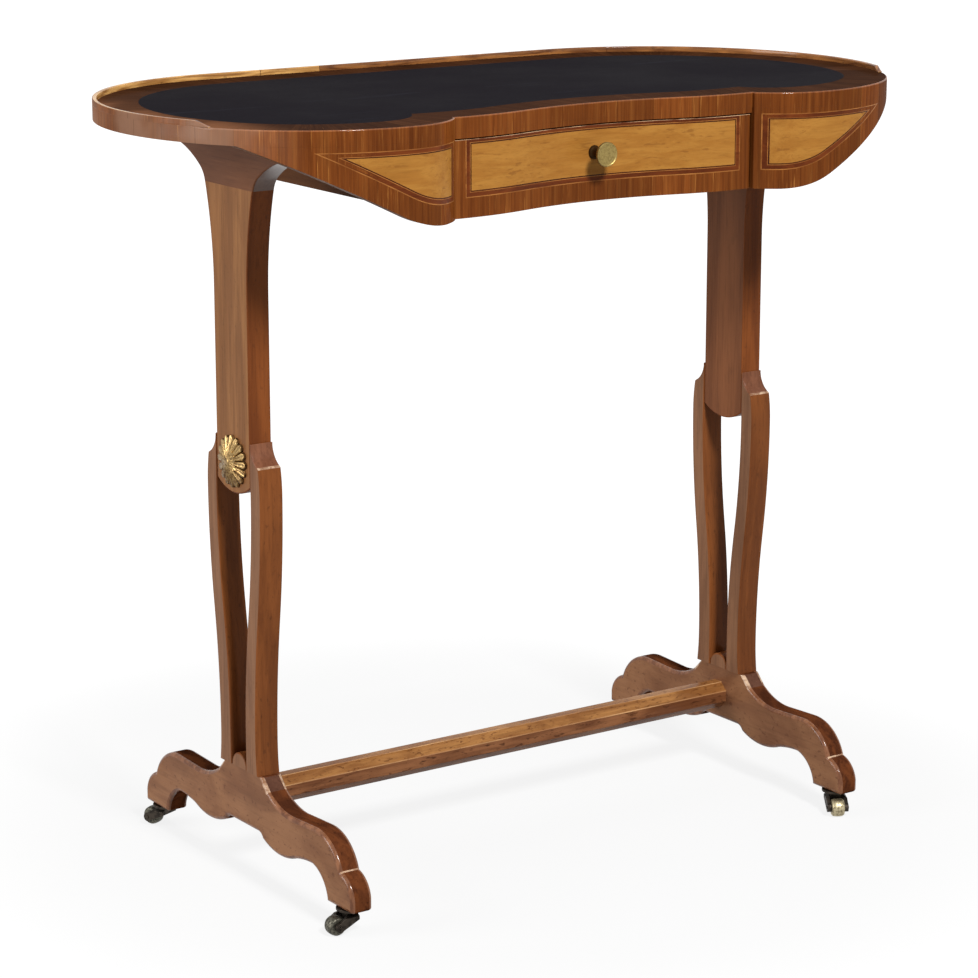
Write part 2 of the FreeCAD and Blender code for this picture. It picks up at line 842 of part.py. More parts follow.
def rosette():
    """Pleated rosette with one ridge to each petal, on the outer face of the shaft."""
    count = 2 * rosette_petals
    rings = []
    for ridge, valley in rosette_rings():
        ring = []
        for index in range(count):
            radius, height = valley if index % 2 else ridge
            ring.append(at_bearing(V(0, 0, 0), radius, full_turn * index / count) + V(0, 0, height))
        rings.append(ring)
    boss = V(0, 0, rosette_boss_rise)
    faces = [Part.Face(Part.makePolygon(rings[0] + rings[0][:1]))]
    for index in range(count):
        after = (index + 1) % count
        for low, high in zip(rings, rings[1:]):
            faces.append(triangle(low[index], low[after], high[index]))
            faces.append(triangle(low[after], high[after], high[index]))
        faces.append(triangle(rings[-1][index], rings[-1][after], boss))
    solid = Part.Solid(Part.Shell(faces))
    if solid.Volume < 0:
        solid.reverse()
    solid.rotate(V(0, 0, 0), V(0, 1, 0), quarter_turn)
    solid.translate(V(trestle_thickness / 2, 0, rosette_height))
    return solid


def triangle(a, b, c):
    """Flat face between three points."""
    return Part.Face(Part.makePolygon([a, b, c, a]))


def screw_places():
    """Plan places of the screws through the bearers."""
    sides = (1, -1)
    return [(s * trestle_half_spacing, t * screw_offset - trestle_forward) for s in sides for t in sides]


def screw_shanks():
    """Shanks of all the screws."""
    low, length = board_low - screw_grip, screw_grip + screw_bite
    shanks = [rod(screw_radius, V(x, y, low), V(0, 0, 1), length) for x, y in screw_places()]
    return Part.makeCompound(shanks)


def bearer_screws():
    """Screws with flat heads that hold the bearers to the board."""
    low = board_low - screw_grip - screw_head_thickness
    screws = []
    for place_of_screw, shank in zip(screw_places(), screw_shanks().Solids):
        head = rod(screw_head_radius, V(*place_of_screw, low), V(0, 0, 1), screw_head_thickness)
        screws.append(head.fuse(shank).removeSplitter())
    return Part.makeCompound(screws)


def drilled_bearer(side):
    """Bearer in place, drilled and counterbored for its screws."""
    solid = trestle_place(bearer(), side).cut(screw_shanks())
    length = board_low - screw_grip - seam_height
    for x, y in screw_places():
        solid = solid.cut(rod(screw_head_radius, V(x, y, seam_height), V(0, 0, 1), length))
    return solid


def caster_plate():
    """Round plate under the pad, bored for the swivel pin."""
    low = V(0, 0, pad_height - plate_thickness)
    plate = rod(plate_radius, low, V(0, 0, 1), plate_thickness)
    return plate.cut(rod(pin_radius + running_gap, low, V(0, 0, 1), plate_thickness))


def swivel_pin():
    """Swivel pin through the plate, riveted over above it."""
    low, head_low = pad_height - plate_thickness - swivel_gap, pad_height + swivel_gap
    head = rod(pin_head_radius, V(0, 0, head_low), V(0, 0, 1), pin_head_thickness)
    return rod(pin_radius, V(0, 0, low), V(0, 0, 1), head_low - low).fuse(head)


def caster_fork():
    """Fork with two horns, a crown that spreads from a narrow top, and the swivel pin."""
    top, inner = pad_height - plate_thickness - swivel_gap, wheel_width / 2 + wheel_side_gap
    crown_back, outer = caster_trail - wheel_radius - crown_rim_gap, inner + horn_thickness
    path = Trace("front", -crown_front, top).to(crown_back, top)
    path.to(caster_trail, wheel_radius + horn_end_radius)
    path.heading = 0
    path.sweep(horn_end_radius, -half_turn).to(-crown_front, top - crown_depth).close()
    horns = path.face().extrude(V(0, 2 * outer, 0))
    horns.translate(V(0, -outer, 0))
    reach = caster_trail + horn_end_radius + overrun
    horns = horns.cut(block(crown_back, reach, -inner, inner, -overrun, pad_height))
    spread = Trace("side", 0, top).to(crown_half, top).to(outer, top - crown_shoulder)
    spread.to(outer, 0).to(0, 0)
    horns = horns.common(slab(spread.mirrored_face(), 0, 2 * reach))
    hole_start = V(caster_trail, -outer - overrun, wheel_radius)
    hole = rod(axle_radius, hole_start, V(0, 1, 0), 2 * (outer + overrun))
    return horns.fuse(swivel_pin()).removeSplitter().cut(hole)


def caster_axle():
    """Riveted pin through the horns."""
    outer = wheel_width / 2 + wheel_side_gap + horn_thickness + axle_head
    return rod(axle_radius, V(caster_trail, -outer, wheel_radius), V(0, 1, 0), 2 * outer)


def caster_wheel():
    """Small wheel with bevelled edges and a bore for the axle."""
    half, edge, bore = wheel_width / 2, wheel_edge, axle_radius + running_gap
    path = Trace("front", bore, -half).to(wheel_radius - edge, -half).to(wheel_radius, edge - half)
    path.to(wheel_radius, half - edge).to(wheel_radius - edge, half).to(bore, half).close()
    wheel = path.face().revolve(V(0, 0, 0), V(0, 0, 1), full_turn)
    wheel.rotate(V(0, 0, 0), V(1, 0, 0), quarter_turn)
    wheel.translate(V(caster_trail, 0, wheel_radius))
    return wheel


def caster_place(shape, corner, swivelled=True):
    """Moves a caster piece under one pad, trailing along the corner's bearing."""
    moved = shape.copy()
    if swivelled:
        moved.rotate(V(0, 0, 0), V(0, 0, 1), quarter_turn - caster_bearings[corner])
    side = 1 if corner.endswith("right") else -1
    depth = 1 if corner.startswith("back") else -1
    moved.translate(V(side * trestle_half_spacing, depth * caster_half_spacing - foot_forward, 0))
    return moved


def build():
    """All pieces by node name."""
    pieces = {
        "top_board": top_board(),
        "writing_leather": writing_leather(),
        "gallery": gallery(),
        "back_rail": back_rail(),
        "front_rail": front_rail(),
        "drawer_stops": drawer_stops(),
        "drawer_front": drawer_front(),
        "drawer_field": drawer_field(),
        "drawer_back": drawer_back(),
        "drawer_bottom": drawer_bottom(),
        "drawer_knob": drawer_knob(),
        "knob_nut": knob_nut(),
        "stretcher": stretcher(),
        "bearer_screws": bearer_screws(),
    }
    pairs = {
        "apron": apron(),
        "apron_field": apron_field(),
        "case_side": case_side(),
        "runner": runner(),
        "kicker": kicker(),
        "drawer_side": drawer_side(),
    }
    for name, shape in pairs.items():
        pieces[name + "_right"], pieces[name + "_left"] = shape, mirror(shape)
    for side, word in ((1, "right"), (-1, "left")):
        pieces["bearer_" + word] = drilled_bearer(side)
        pieces["shaft_" + word] = trestle_place(shaft(), side)
        pieces["branch_back_" + word] = trestle_place(branch(), side)
        pieces["branch_front_" + word] = trestle_place(branch().mirror(V(0, 0, 0), V(0, 1, 0)), side)
        pieces["spandrel_" + word] = trestle_place(spandrel(), side)
        pieces["foot_" + word] = trestle_place(foot(), side)
        pieces["rosette_" + word] = trestle_place(rosette(), side)
    for corner in caster_bearings:
        pieces["caster_plate_" + corner] = caster_place(caster_plate(), corner, swivelled=False)
        pieces["caster_fork_" + corner] = caster_place(caster_fork(), corner)
        pieces["caster_axle_" + corner] = caster_place(caster_axle(), corner)
        pieces["caster_wheel_" + corner] = caster_place(caster_wheel(), corner)
    return pieces


for node, shape in build().items():
    if not shape.isValid():
        print("not valid:", node)
    shape.exportStep("parts/" + node + ".step")
    print(node, len(shape.Solids), round(shape.Volume))
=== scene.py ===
"""Looks of the kidney-shaped writing table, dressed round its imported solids.

Metres. +Z is up, the floor is z = 0, the drawer faces -Y and the origin lies on the floor under the
middle of the top.
"""

import json
import logging
from dataclasses import dataclass
from enum import Enum
from functools import cached_property
from math import (asin, atan2, ceil, copysign, cos, degrees, dist, exp, hypot, inf, pi, radians, sin,
                  sqrt, tan, tau)
from typing import Callable, Iterable, Sequence

import bmesh
import bpy
from bmesh.types import BMesh, BMVert
from bpy.types import ID, Material, Mesh, Node, NodeSocket, Object
from mathutils import Matrix, Vector


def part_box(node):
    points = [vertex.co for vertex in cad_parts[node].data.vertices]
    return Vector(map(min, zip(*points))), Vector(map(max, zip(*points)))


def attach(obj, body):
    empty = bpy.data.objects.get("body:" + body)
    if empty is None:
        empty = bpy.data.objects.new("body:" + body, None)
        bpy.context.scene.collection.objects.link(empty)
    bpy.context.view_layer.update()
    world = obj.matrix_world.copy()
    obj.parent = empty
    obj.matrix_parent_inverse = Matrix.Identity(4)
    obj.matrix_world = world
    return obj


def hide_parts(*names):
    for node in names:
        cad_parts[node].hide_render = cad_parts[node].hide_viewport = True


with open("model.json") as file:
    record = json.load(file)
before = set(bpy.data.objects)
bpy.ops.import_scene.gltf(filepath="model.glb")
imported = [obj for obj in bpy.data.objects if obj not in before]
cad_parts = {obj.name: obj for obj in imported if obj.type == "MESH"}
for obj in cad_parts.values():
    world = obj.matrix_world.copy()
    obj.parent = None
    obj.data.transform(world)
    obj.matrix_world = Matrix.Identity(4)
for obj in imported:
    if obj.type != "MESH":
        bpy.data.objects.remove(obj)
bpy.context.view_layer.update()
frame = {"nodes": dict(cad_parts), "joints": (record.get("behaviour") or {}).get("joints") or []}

Colour = tuple[float, float, float]
Spot = tuple[float, float]
Finishes = dict[str, Material]

UV_NAME = "grain"
SIDES = ("left", "right")
CORNERS = ("front_left", "back_left", "front_right", "back_right")
MERGE_GAP = 2e-6
WELD_GAP = 1e-6
LEVEL_GAP = 1e-5
SLIVER = 1e-7
FLAT_ANGLE = 0.4
ARRIS_ANGLE = 28.0
CORNER_ANGLE = 25.0
CREASE_SINE = 0.4
ARRIS_FACES = 2

logging.basicConfig(level=logging.INFO, format="%(message)s")
log = logging.getLogger("writing_table")


class Grain(Enum):
    """Direction that the grain runs in."""

    ACROSS = "x"
    DEEP = "y"
    UPRIGHT = "z"
    FOLLOWING = "uv"


class Slot(Enum):
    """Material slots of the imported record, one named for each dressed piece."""

    SATINWOOD = "satinwood"
    CROSSBAND = "crossband"
    TRESTLE = "trestle_wood"
    CARCASE = "carcase_wood"
    GALLERY = "gallery_wood"
    GILT = "gilt_brass"
    BRONZE = "dark_bronze"


def linear(code: int) -> Colour:
    """Linear colour of an 8-bit display colour.

    Args:
        code: Its red, green and blue as one number.

    Returns:
        Red, green and blue from 0 to 1.
    """
    def curve(value: float) -> float:
        """One channel from display to linear."""
        return value / 12.92 if value <= 0.04045 else ((value + 0.055) / 1.055) ** 2.4
    return tuple(curve((code >> shift & 255) / 255) for shift in (16, 8, 0))


class Wiring:
    """Adds and joins the nodes of one material."""

    def __init__(self, name: str) -> None:
        """Starts a material with a Principled shader joined to its output.

        Args:
            name: Name of the material.
        """
        self.material = bpy.data.materials.new(name)
        self.material.use_nodes = True
        self.tree = self.material.node_tree
        self.tree.nodes.clear()
        self.output = self.add("ShaderNodeOutputMaterial")
        self.shader = self.add("ShaderNodeBsdfPrincipled")
        self.tree.links.new(self.shader.outputs["BSDF"], self.output.inputs["Surface"])

    def add(self, kind: str, **settings: object) -> Node:
        """Adds a node.

        Args:
            kind: The node's type name.
            settings: Properties of the node by name.

        Returns:
            The node.
        """
        node = self.tree.nodes.new(kind)
        for key, value in settings.items():
            setattr(node, key, value)
        return node

    def feed(self, socket: NodeSocket, value: object) -> None:
        """Joins a socket to another, or gives it a constant.

        Args:
            socket: The input socket.
            value: An output socket, a number, a vector or a colour.
        """
        if isinstance(value, NodeSocket):
            self.tree.links.new(value, socket)
        elif socket.type == "RGBA" and len(value) == 3:
            socket.default_value = (*value, 1.0)
        else:
            socket.default_value = value

    def place(self, grain: Grain, stretch: float, shift: float) -> NodeSocket:
        """Coordinates squeezed along the grain, so that a pattern runs with it.

        Args:
            grain: Direction of the grain.
            stretch: How many times longer than wide the pattern is.
            shift: Offset that tells one piece of wood from another.

        Returns:
            The vector socket.
        """
        mapping = self.add("ShaderNodeMapping")
        along = 1 / stretch
        scale = {
            Grain.ACROSS: (along, 1, 1), Grain.DEEP: (1, along, 1),
            Grain.UPRIGHT: (1, 1, along), Grain.FOLLOWING: (1, along, 1),
        }[grain]
        self.feed(mapping.inputs["Vector"], self.coordinates(grain))
        mapping.inputs["Scale"].default_value = scale
        mapping.inputs["Location"].default_value = (shift, shift, shift)
        return mapping.outputs["Vector"]

    def coordinates(self, grain: Grain) -> NodeSocket:
        """Object coordinates, or the piece's own UV map where the grain follows the outline.

        Args:
            grain: Direction of the grain.

        Returns:
            The vector socket.
        """
        if grain is Grain.FOLLOWING:
            return self.add("ShaderNodeUVMap", uv_map=UV_NAME).outputs["UV"]
        return self.add("ShaderNodeTexCoord").outputs["Object"]

    def noise(self, vector: NodeSocket, scale: float, detail: float = 3.0,
              roughness: float = 0.55, distortion: float = 0.0) -> NodeSocket:
        """Noise value from 0 to 1.

        Args:
            vector: Coordinates.
            scale: Patches per metre.
            detail: Octaves.
            roughness: Share of the finer octaves.
            distortion: Waviness.

        Returns:
            The value socket.
        """
        node = self.add("ShaderNodeTexNoise")
        self.feed(node.inputs["Vector"], vector)
        for key, value in (("Scale", scale), ("Detail", detail), ("Roughness", roughness),
                           ("Distortion", distortion)):
            node.inputs[key].default_value = value
        return node.outputs["Fac"]

    def sums(self, operation: str, a: object, b: object = 0.0, clamp: bool = False) -> NodeSocket:
        """Result of a Math node.

        Args:
            operation: Name of the operation.
            a: First socket or number.
            b: Second socket or number.
            clamp: Whether the result is held between 0 and 1.

        Returns:
            The value socket.
        """
        node = self.add("ShaderNodeMath", operation=operation, use_clamp=clamp)
        self.feed(node.inputs[0], a)
        self.feed(node.inputs[1], b)
        return node.outputs[0]

    def times(self, a: object, b: object) -> NodeSocket:
        """Product of two sockets or numbers."""
        return self.sums("MULTIPLY", a, b)

    def window(self, value: object, low: float, high: float, to_low: float = 0.0,
               to_high: float = 1.0) -> NodeSocket:
        """Value eased from one range to another and held at its ends.

        Args:
            value: Socket or number to read.
            low: Reading that gives `to_low`.
            high: Reading that gives `to_high`.
            to_low: Result at the low end.
            to_high: Result at the high end.

        Returns:
            The value socket.
        """
        node = self.add("ShaderNodeMapRange", interpolation_type="SMOOTHSTEP")
        for key, item in (("Value", value), ("From Min", low), ("From Max", high),
                          ("To Min", to_low), ("To Max", to_high)):
            self.feed(node.inputs[key], item)
        return node.outputs["Result"]

    def blend(self, share: object, a: object, b: object, mode: str = "MIX") -> NodeSocket:
        """Mix of two colours.

        Args:
            share: Share of the second colour.
            a: First colour or socket.
            b: Second colour or socket.
            mode: Blend mode.

        Returns:
            The colour socket.
        """
        node = self.add("ShaderNodeMix", data_type="RGBA", blend_type=mode, clamp_factor=True)
        colours = [socket for socket in node.inputs if socket.type == "RGBA"]
        self.feed(node.inputs[0], share)
        self.feed(colours[0], a)
        self.feed(colours[1], b)
        return next(socket for socket in node.outputs if socket.type == "RGBA")

    def relief(self, height: NodeSocket, strength: float, depth: float) -> None:
        """Bump from a height, on the shader.

        Args:
            height: The height socket.
            strength: Share of the bump.
            depth: Metres between the height's 0 and 1.
        """
        node = self.add("ShaderNodeBump")
        node.inputs["Strength"].default_value = strength
        node.inputs["Distance"].default_value = depth
        self.feed(node.inputs["Height"], height)
        self.feed(self.shader.inputs["Normal"], node.outputs["Normal"])

    def shade(self, **values: object) -> None:
        """Feeds the shader's own sockets, by names with spaces as underscores."""
        for key, value in values.items():
            self.feed(self.shader.inputs[key.replace("_", " ")], value)


@dataclass(frozen=True)
class Wood:
    """Polished solid wood or plain veneer with figure, fibre, pores and flecks."""

    name: str
    grain: Grain
    light: Colour
    dark: Colour
    figure_scale: float = 16.0
    figure_stretch: float = 9.0
    fibre_scale: float = 420.0
    fibre_stretch: float = 26.0
    fibre_share: float = 0.35
    fleck_share: float = 0.0
    stain: Colour = (0.030, 0.012, 0.006)
    fleck_scale: float = 62.0
    fleck_stretch: float = 2.2
    fleck_start: float = 0.60
    roughness: float = 0.36
    specular: float = 0.04
    coat: float = 0.07
    coat_roughness: float = 0.18
    ior: float = 1.5
    cloud_scale: float = 17.0
    smear_scale: float = 24.0
    bump: float = 0.10
    bump_depth: float = 0.0004
    seed: float = 0.0

    def build(self) -> Material:
        """Builds the material."""
        w = Wiring(self.name)
        broad = w.place(self.grain, self.figure_stretch, self.seed)
        figure = w.noise(broad, self.figure_scale, 4.0, 0.55, 0.8)
        colour = w.blend(w.window(figure, 0.33, 0.68), self.dark, self.light)
        fine = w.place(self.grain, self.fibre_stretch, self.seed + 3.1)
        fibre = w.noise(fine, self.fibre_scale, 4.0, 0.7)
        fibre_mask = w.times(w.window(fibre, 0.50, 0.68), self.fibre_share)
        colour = w.blend(fibre_mask, colour, tuple(c * 0.45 for c in self.dark))
        glow = w.times(w.window(fibre, 0.46, 0.30), self.fibre_share * 0.6)
        colour = w.blend(glow, colour, tuple(min(1.0, c * 1.35) for c in self.light))
        if self.fleck_share:
            place = w.place(self.grain, self.fleck_stretch, self.seed + 7.7)
            spots = w.noise(place, self.fleck_scale, 4.0, 0.60, 0.3)
            mask = w.window(spots, self.fleck_start, self.fleck_start + 0.10)
            colour = w.blend(w.times(mask, self.fleck_share), colour, self.stain)
            clouds = w.noise(w.place(self.grain, 1.6, self.seed + 1.3), self.cloud_scale, 4.0, 0.6)
            colour = w.blend(w.times(w.window(clouds, 0.50, 0.70), self.fleck_share * 0.45),
                             colour, tuple(c * 0.72 for c in self.dark))
        w.shade(Base_Color=colour)
        smear = w.noise(w.place(self.grain, 2.0, self.seed + 5.0), self.smear_scale, 3.0)
        w.shade(Roughness=w.window(smear, 0.2, 0.8, self.roughness - 0.07, self.roughness + 0.10))
        w.relief(w.sums("ADD", fibre, w.times(figure, 0.6)), self.bump, self.bump_depth)
        w.shade(Coat_Weight=self.coat, Coat_Roughness=self.coat_roughness,
                Specular_IOR_Level=self.specular, IOR=self.ior)
        return w.material


@dataclass(frozen=True)
class Crossbanding:
    """Veneer cut in short pieces with the grain across the band, along the piece's UV map."""

    name: str = "crossbanding"
    light: Colour = linear(0x7F451C)
    dark: Colour = linear(0x623112)
    streak: Colour = linear(0xAC7036)
    joint: Colour = linear(0x3E1C0C)
    # Colour of the painted sheen at the left end.
    left_sheen: Colour = linear(0x98745E)
    piece_width: float = 0.0385
    joint_width: float = 0.00035
    stripe_scale: float = 330.0
    thin_scale: float = 800.0
    golden_scale: float = 95.0
    gather_scale: float = 60.0
    cloud_scale: float = 11.0
    sheen_from: float = -0.315
    sheen_to: float = -0.38
    squeeze: tuple[float, float, float] = (1.0, 0.022, 0.0)
    shuffle: tuple[float, float, float] = (0.7, 3.0, 0.0)
    piece_tint: tuple[float, float, float] = (1.0, 0.99, 0.96)
    specular: float = 0.0
    coat: float = 0.07
    coat_roughness: float = 0.12
    ior: float = 1.5
    seed: float = 0.0

    def build(self) -> Material:
        """Builds the material."""
        w = Wiring(self.name)
        split = w.add("ShaderNodeSeparateXYZ")
        w.feed(split.inputs[0], w.coordinates(Grain.FOLLOWING))
        count = w.sums("DIVIDE", split.outputs["X"], self.piece_width)
        number = w.sums("ADD", w.sums("FLOOR", count), self.seed)
        piece = w.add("ShaderNodeTexWhiteNoise", noise_dimensions="1D")
        w.feed(piece.inputs["W"], number)
        offset = w.add("ShaderNodeVectorMath", operation="MULTIPLY_ADD")
        w.feed(offset.inputs[0], piece.outputs["Color"])
        offset.inputs[1].default_value = self.shuffle
        squeeze = w.add("ShaderNodeVectorMath", operation="MULTIPLY")
        w.feed(squeeze.inputs[0], w.coordinates(Grain.FOLLOWING))
        squeeze.inputs[1].default_value = self.squeeze
        w.feed(offset.inputs[2], squeeze.outputs[0])
        place = offset.outputs[0]
        stripes = w.noise(place, self.stripe_scale, 5.0, 0.75)
        colour = self.figured(w, place, stripes)
        tone = w.window(piece.outputs["Value"], 0.0, 1.0, 0.80, 1.16)
        shade = w.add("ShaderNodeCombineColor")
        for index, bias in enumerate(self.piece_tint):
            w.feed(shade.inputs[index], w.times(tone, bias))
        colour = w.blend(1.0, colour, shade.outputs[0], "MULTIPLY")
        cloud = w.noise(w.coordinates(Grain.UPRIGHT), self.cloud_scale, 3.0)
        colour = w.blend(w.times(w.window(cloud, 0.5, 0.72), 0.22), colour, self.joint)
        nearness = w.sums("ABSOLUTE", w.sums("SUBTRACT", w.sums("FRACT", count), 0.5))
        gap = w.window(nearness, 0.5 - self.joint_width / self.piece_width, 0.5, 0.0, 0.75)
        sideways = w.add("ShaderNodeSeparateXYZ")
        w.feed(sideways.inputs[0], w.coordinates(Grain.UPRIGHT))
        # Paler, greyer patches towards the left end: painted sheen.
        at_left = w.window(sideways.outputs["X"], self.sheen_from, self.sheen_to)
        sheen = w.times(at_left, w.window(cloud, 0.40, 0.60, 0.20, 0.72))
        colour = w.blend(sheen, colour, self.left_sheen)
        pale = w.window(piece.outputs["Value"], 0.55, 0.60)
        colour = w.blend(gap, colour, w.blend(pale, self.joint, self.streak))
        w.shade(Base_Color=colour)
        smear = w.noise(w.coordinates(Grain.UPRIGHT), 30.0, 3.0)
        w.shade(Roughness=w.window(smear, 0.2, 0.8, 0.26, 0.42))
        w.relief(w.sums("SUBTRACT", stripes, w.times(gap, 0.8)), 0.10, 0.0003)
        w.shade(Coat_Weight=self.coat, Coat_Roughness=self.coat_roughness,
                Specular_IOR_Level=self.specular, IOR=self.ior)
        return w.material

    def figured(self, w: Wiring, place: NodeSocket, stripes: NodeSocket) -> NodeSocket:
        """Colour of the stripes, golden patches and thin streaks.

        Args:
            w: The material's wiring.
            place: Coordinates of the piece of veneer.
            stripes: The stripes' noise.

        Returns:
            The colour socket.
        """
        colour = w.blend(w.window(stripes, 0.32, 0.68), self.dark, self.light)
        golden = w.window(w.noise(place, self.golden_scale, 3.0, 0.6), 0.50, 0.70, 0.0, 0.38)
        colour = w.blend(golden, colour, tuple((a + b) / 2 for a, b in zip(self.light, self.streak)))
        thin = w.noise(place, self.thin_scale, 3.0, 0.65)
        gather = w.window(w.noise(place, self.gather_scale, 2.0), 0.40, 0.62, 0.20, 0.95)
        colour = w.blend(w.times(w.window(thin, 0.58, 0.68), gather), colour, self.streak)
        return w.blend(w.times(w.window(thin, 0.38, 0.27), 0.40), colour,
                       tuple(c * 0.55 for c in self.dark))


@dataclass(frozen=True)
class StreakedLeather:
    """Black skiver leather with a fine grain and lighter streaks, partly wear and partly painted sheen."""

    name: str = "black_leather"
    body: Colour = linear(0x18151A)
    rubbed_and_sheen: Colour = linear(0x424450)
    cloud_scale: float = 5.0
    streak_scale: float = 34.0
    scuff_scale: float = 160.0
    pebble_scale: float = 1400.0
    wave_scale: float = 14.0

    def build(self) -> Material:
        """Builds the material."""
        w = Wiring(self.name)
        object_place = w.coordinates(Grain.UPRIGHT)
        clouds = w.noise(object_place, self.cloud_scale, 4.0, 0.6)
        colour = w.blend(w.window(clouds, 0.35, 0.7), tuple(c * 0.8 for c in self.body), self.body)
        # Lighter streaks and scuffs: partly wear, partly painted sheen.
        streaks = w.noise(w.place(Grain.ACROSS, 9.0, 2.0), self.streak_scale, 5.0, 0.66, 0.5)
        colour = w.blend(w.times(w.window(streaks, 0.62, 0.80), 0.45), colour, self.rubbed_and_sheen)
        scuffs = w.noise(w.place(Grain.ACROSS, 30.0, 8.0), self.scuff_scale, 2.0, 0.5, 0.2)
        colour = w.blend(w.times(w.window(scuffs, 0.72, 0.80), 0.35), colour, self.rubbed_and_sheen)
        w.shade(Base_Color=colour)
        w.shade(Roughness=w.window(clouds, 0.3, 0.7, 0.52, 0.64))
        pebble = w.add("ShaderNodeTexVoronoi", feature="F1")
        w.feed(pebble.inputs["Vector"], object_place)
        pebble.inputs["Scale"].default_value = self.pebble_scale
        waves = w.noise(object_place, self.wave_scale, 2.0)
        w.relief(w.sums("ADD", pebble.outputs["Distance"], w.times(waves, 2.0)), 0.10, 0.0003)
        w.shade(Specular_IOR_Level=0.003, IOR=1.45)
        return w.material


@dataclass(frozen=True)
class CastMetal:
    """Cast or turned metal with patches of tarnish over the bright metal."""

    name: str
    bright: Colour
    tarnish: Colour
    roughness: float = 0.30
    tarnish_share: float = 0.6
    patch_scale: float = 160.0
    darker_below: float = -1.0
    casting_scale: float = 900.0

    def build(self) -> Material:
        """Builds the material."""
        w = Wiring(self.name)
        place = w.coordinates(Grain.UPRIGHT)
        patches = w.noise(place, self.patch_scale, 5.0, 0.65)
        share = w.window(patches, 0.40, 0.66, 0.0, self.tarnish_share)
        # Darker towards the bottom, below the given level.
        if self.darker_below > 0:
            split = w.add("ShaderNodeSeparateXYZ")
            w.feed(split.inputs[0], place)
            share = w.sums("ADD", share, w.window(split.outputs["Z"], self.darker_below + 0.014,
                                                  self.darker_below - 0.008, 0.0, 0.6), clamp=True)
        w.shade(Base_Color=w.blend(share, self.bright, self.tarnish))
        w.shade(Roughness=w.window(patches, 0.3, 0.7, self.roughness - 0.06, self.roughness + 0.16))
        w.relief(w.noise(place, self.casting_scale, 3.0), 0.12, 0.0002)
        w.shade(Metallic=1.0)
        return w.material


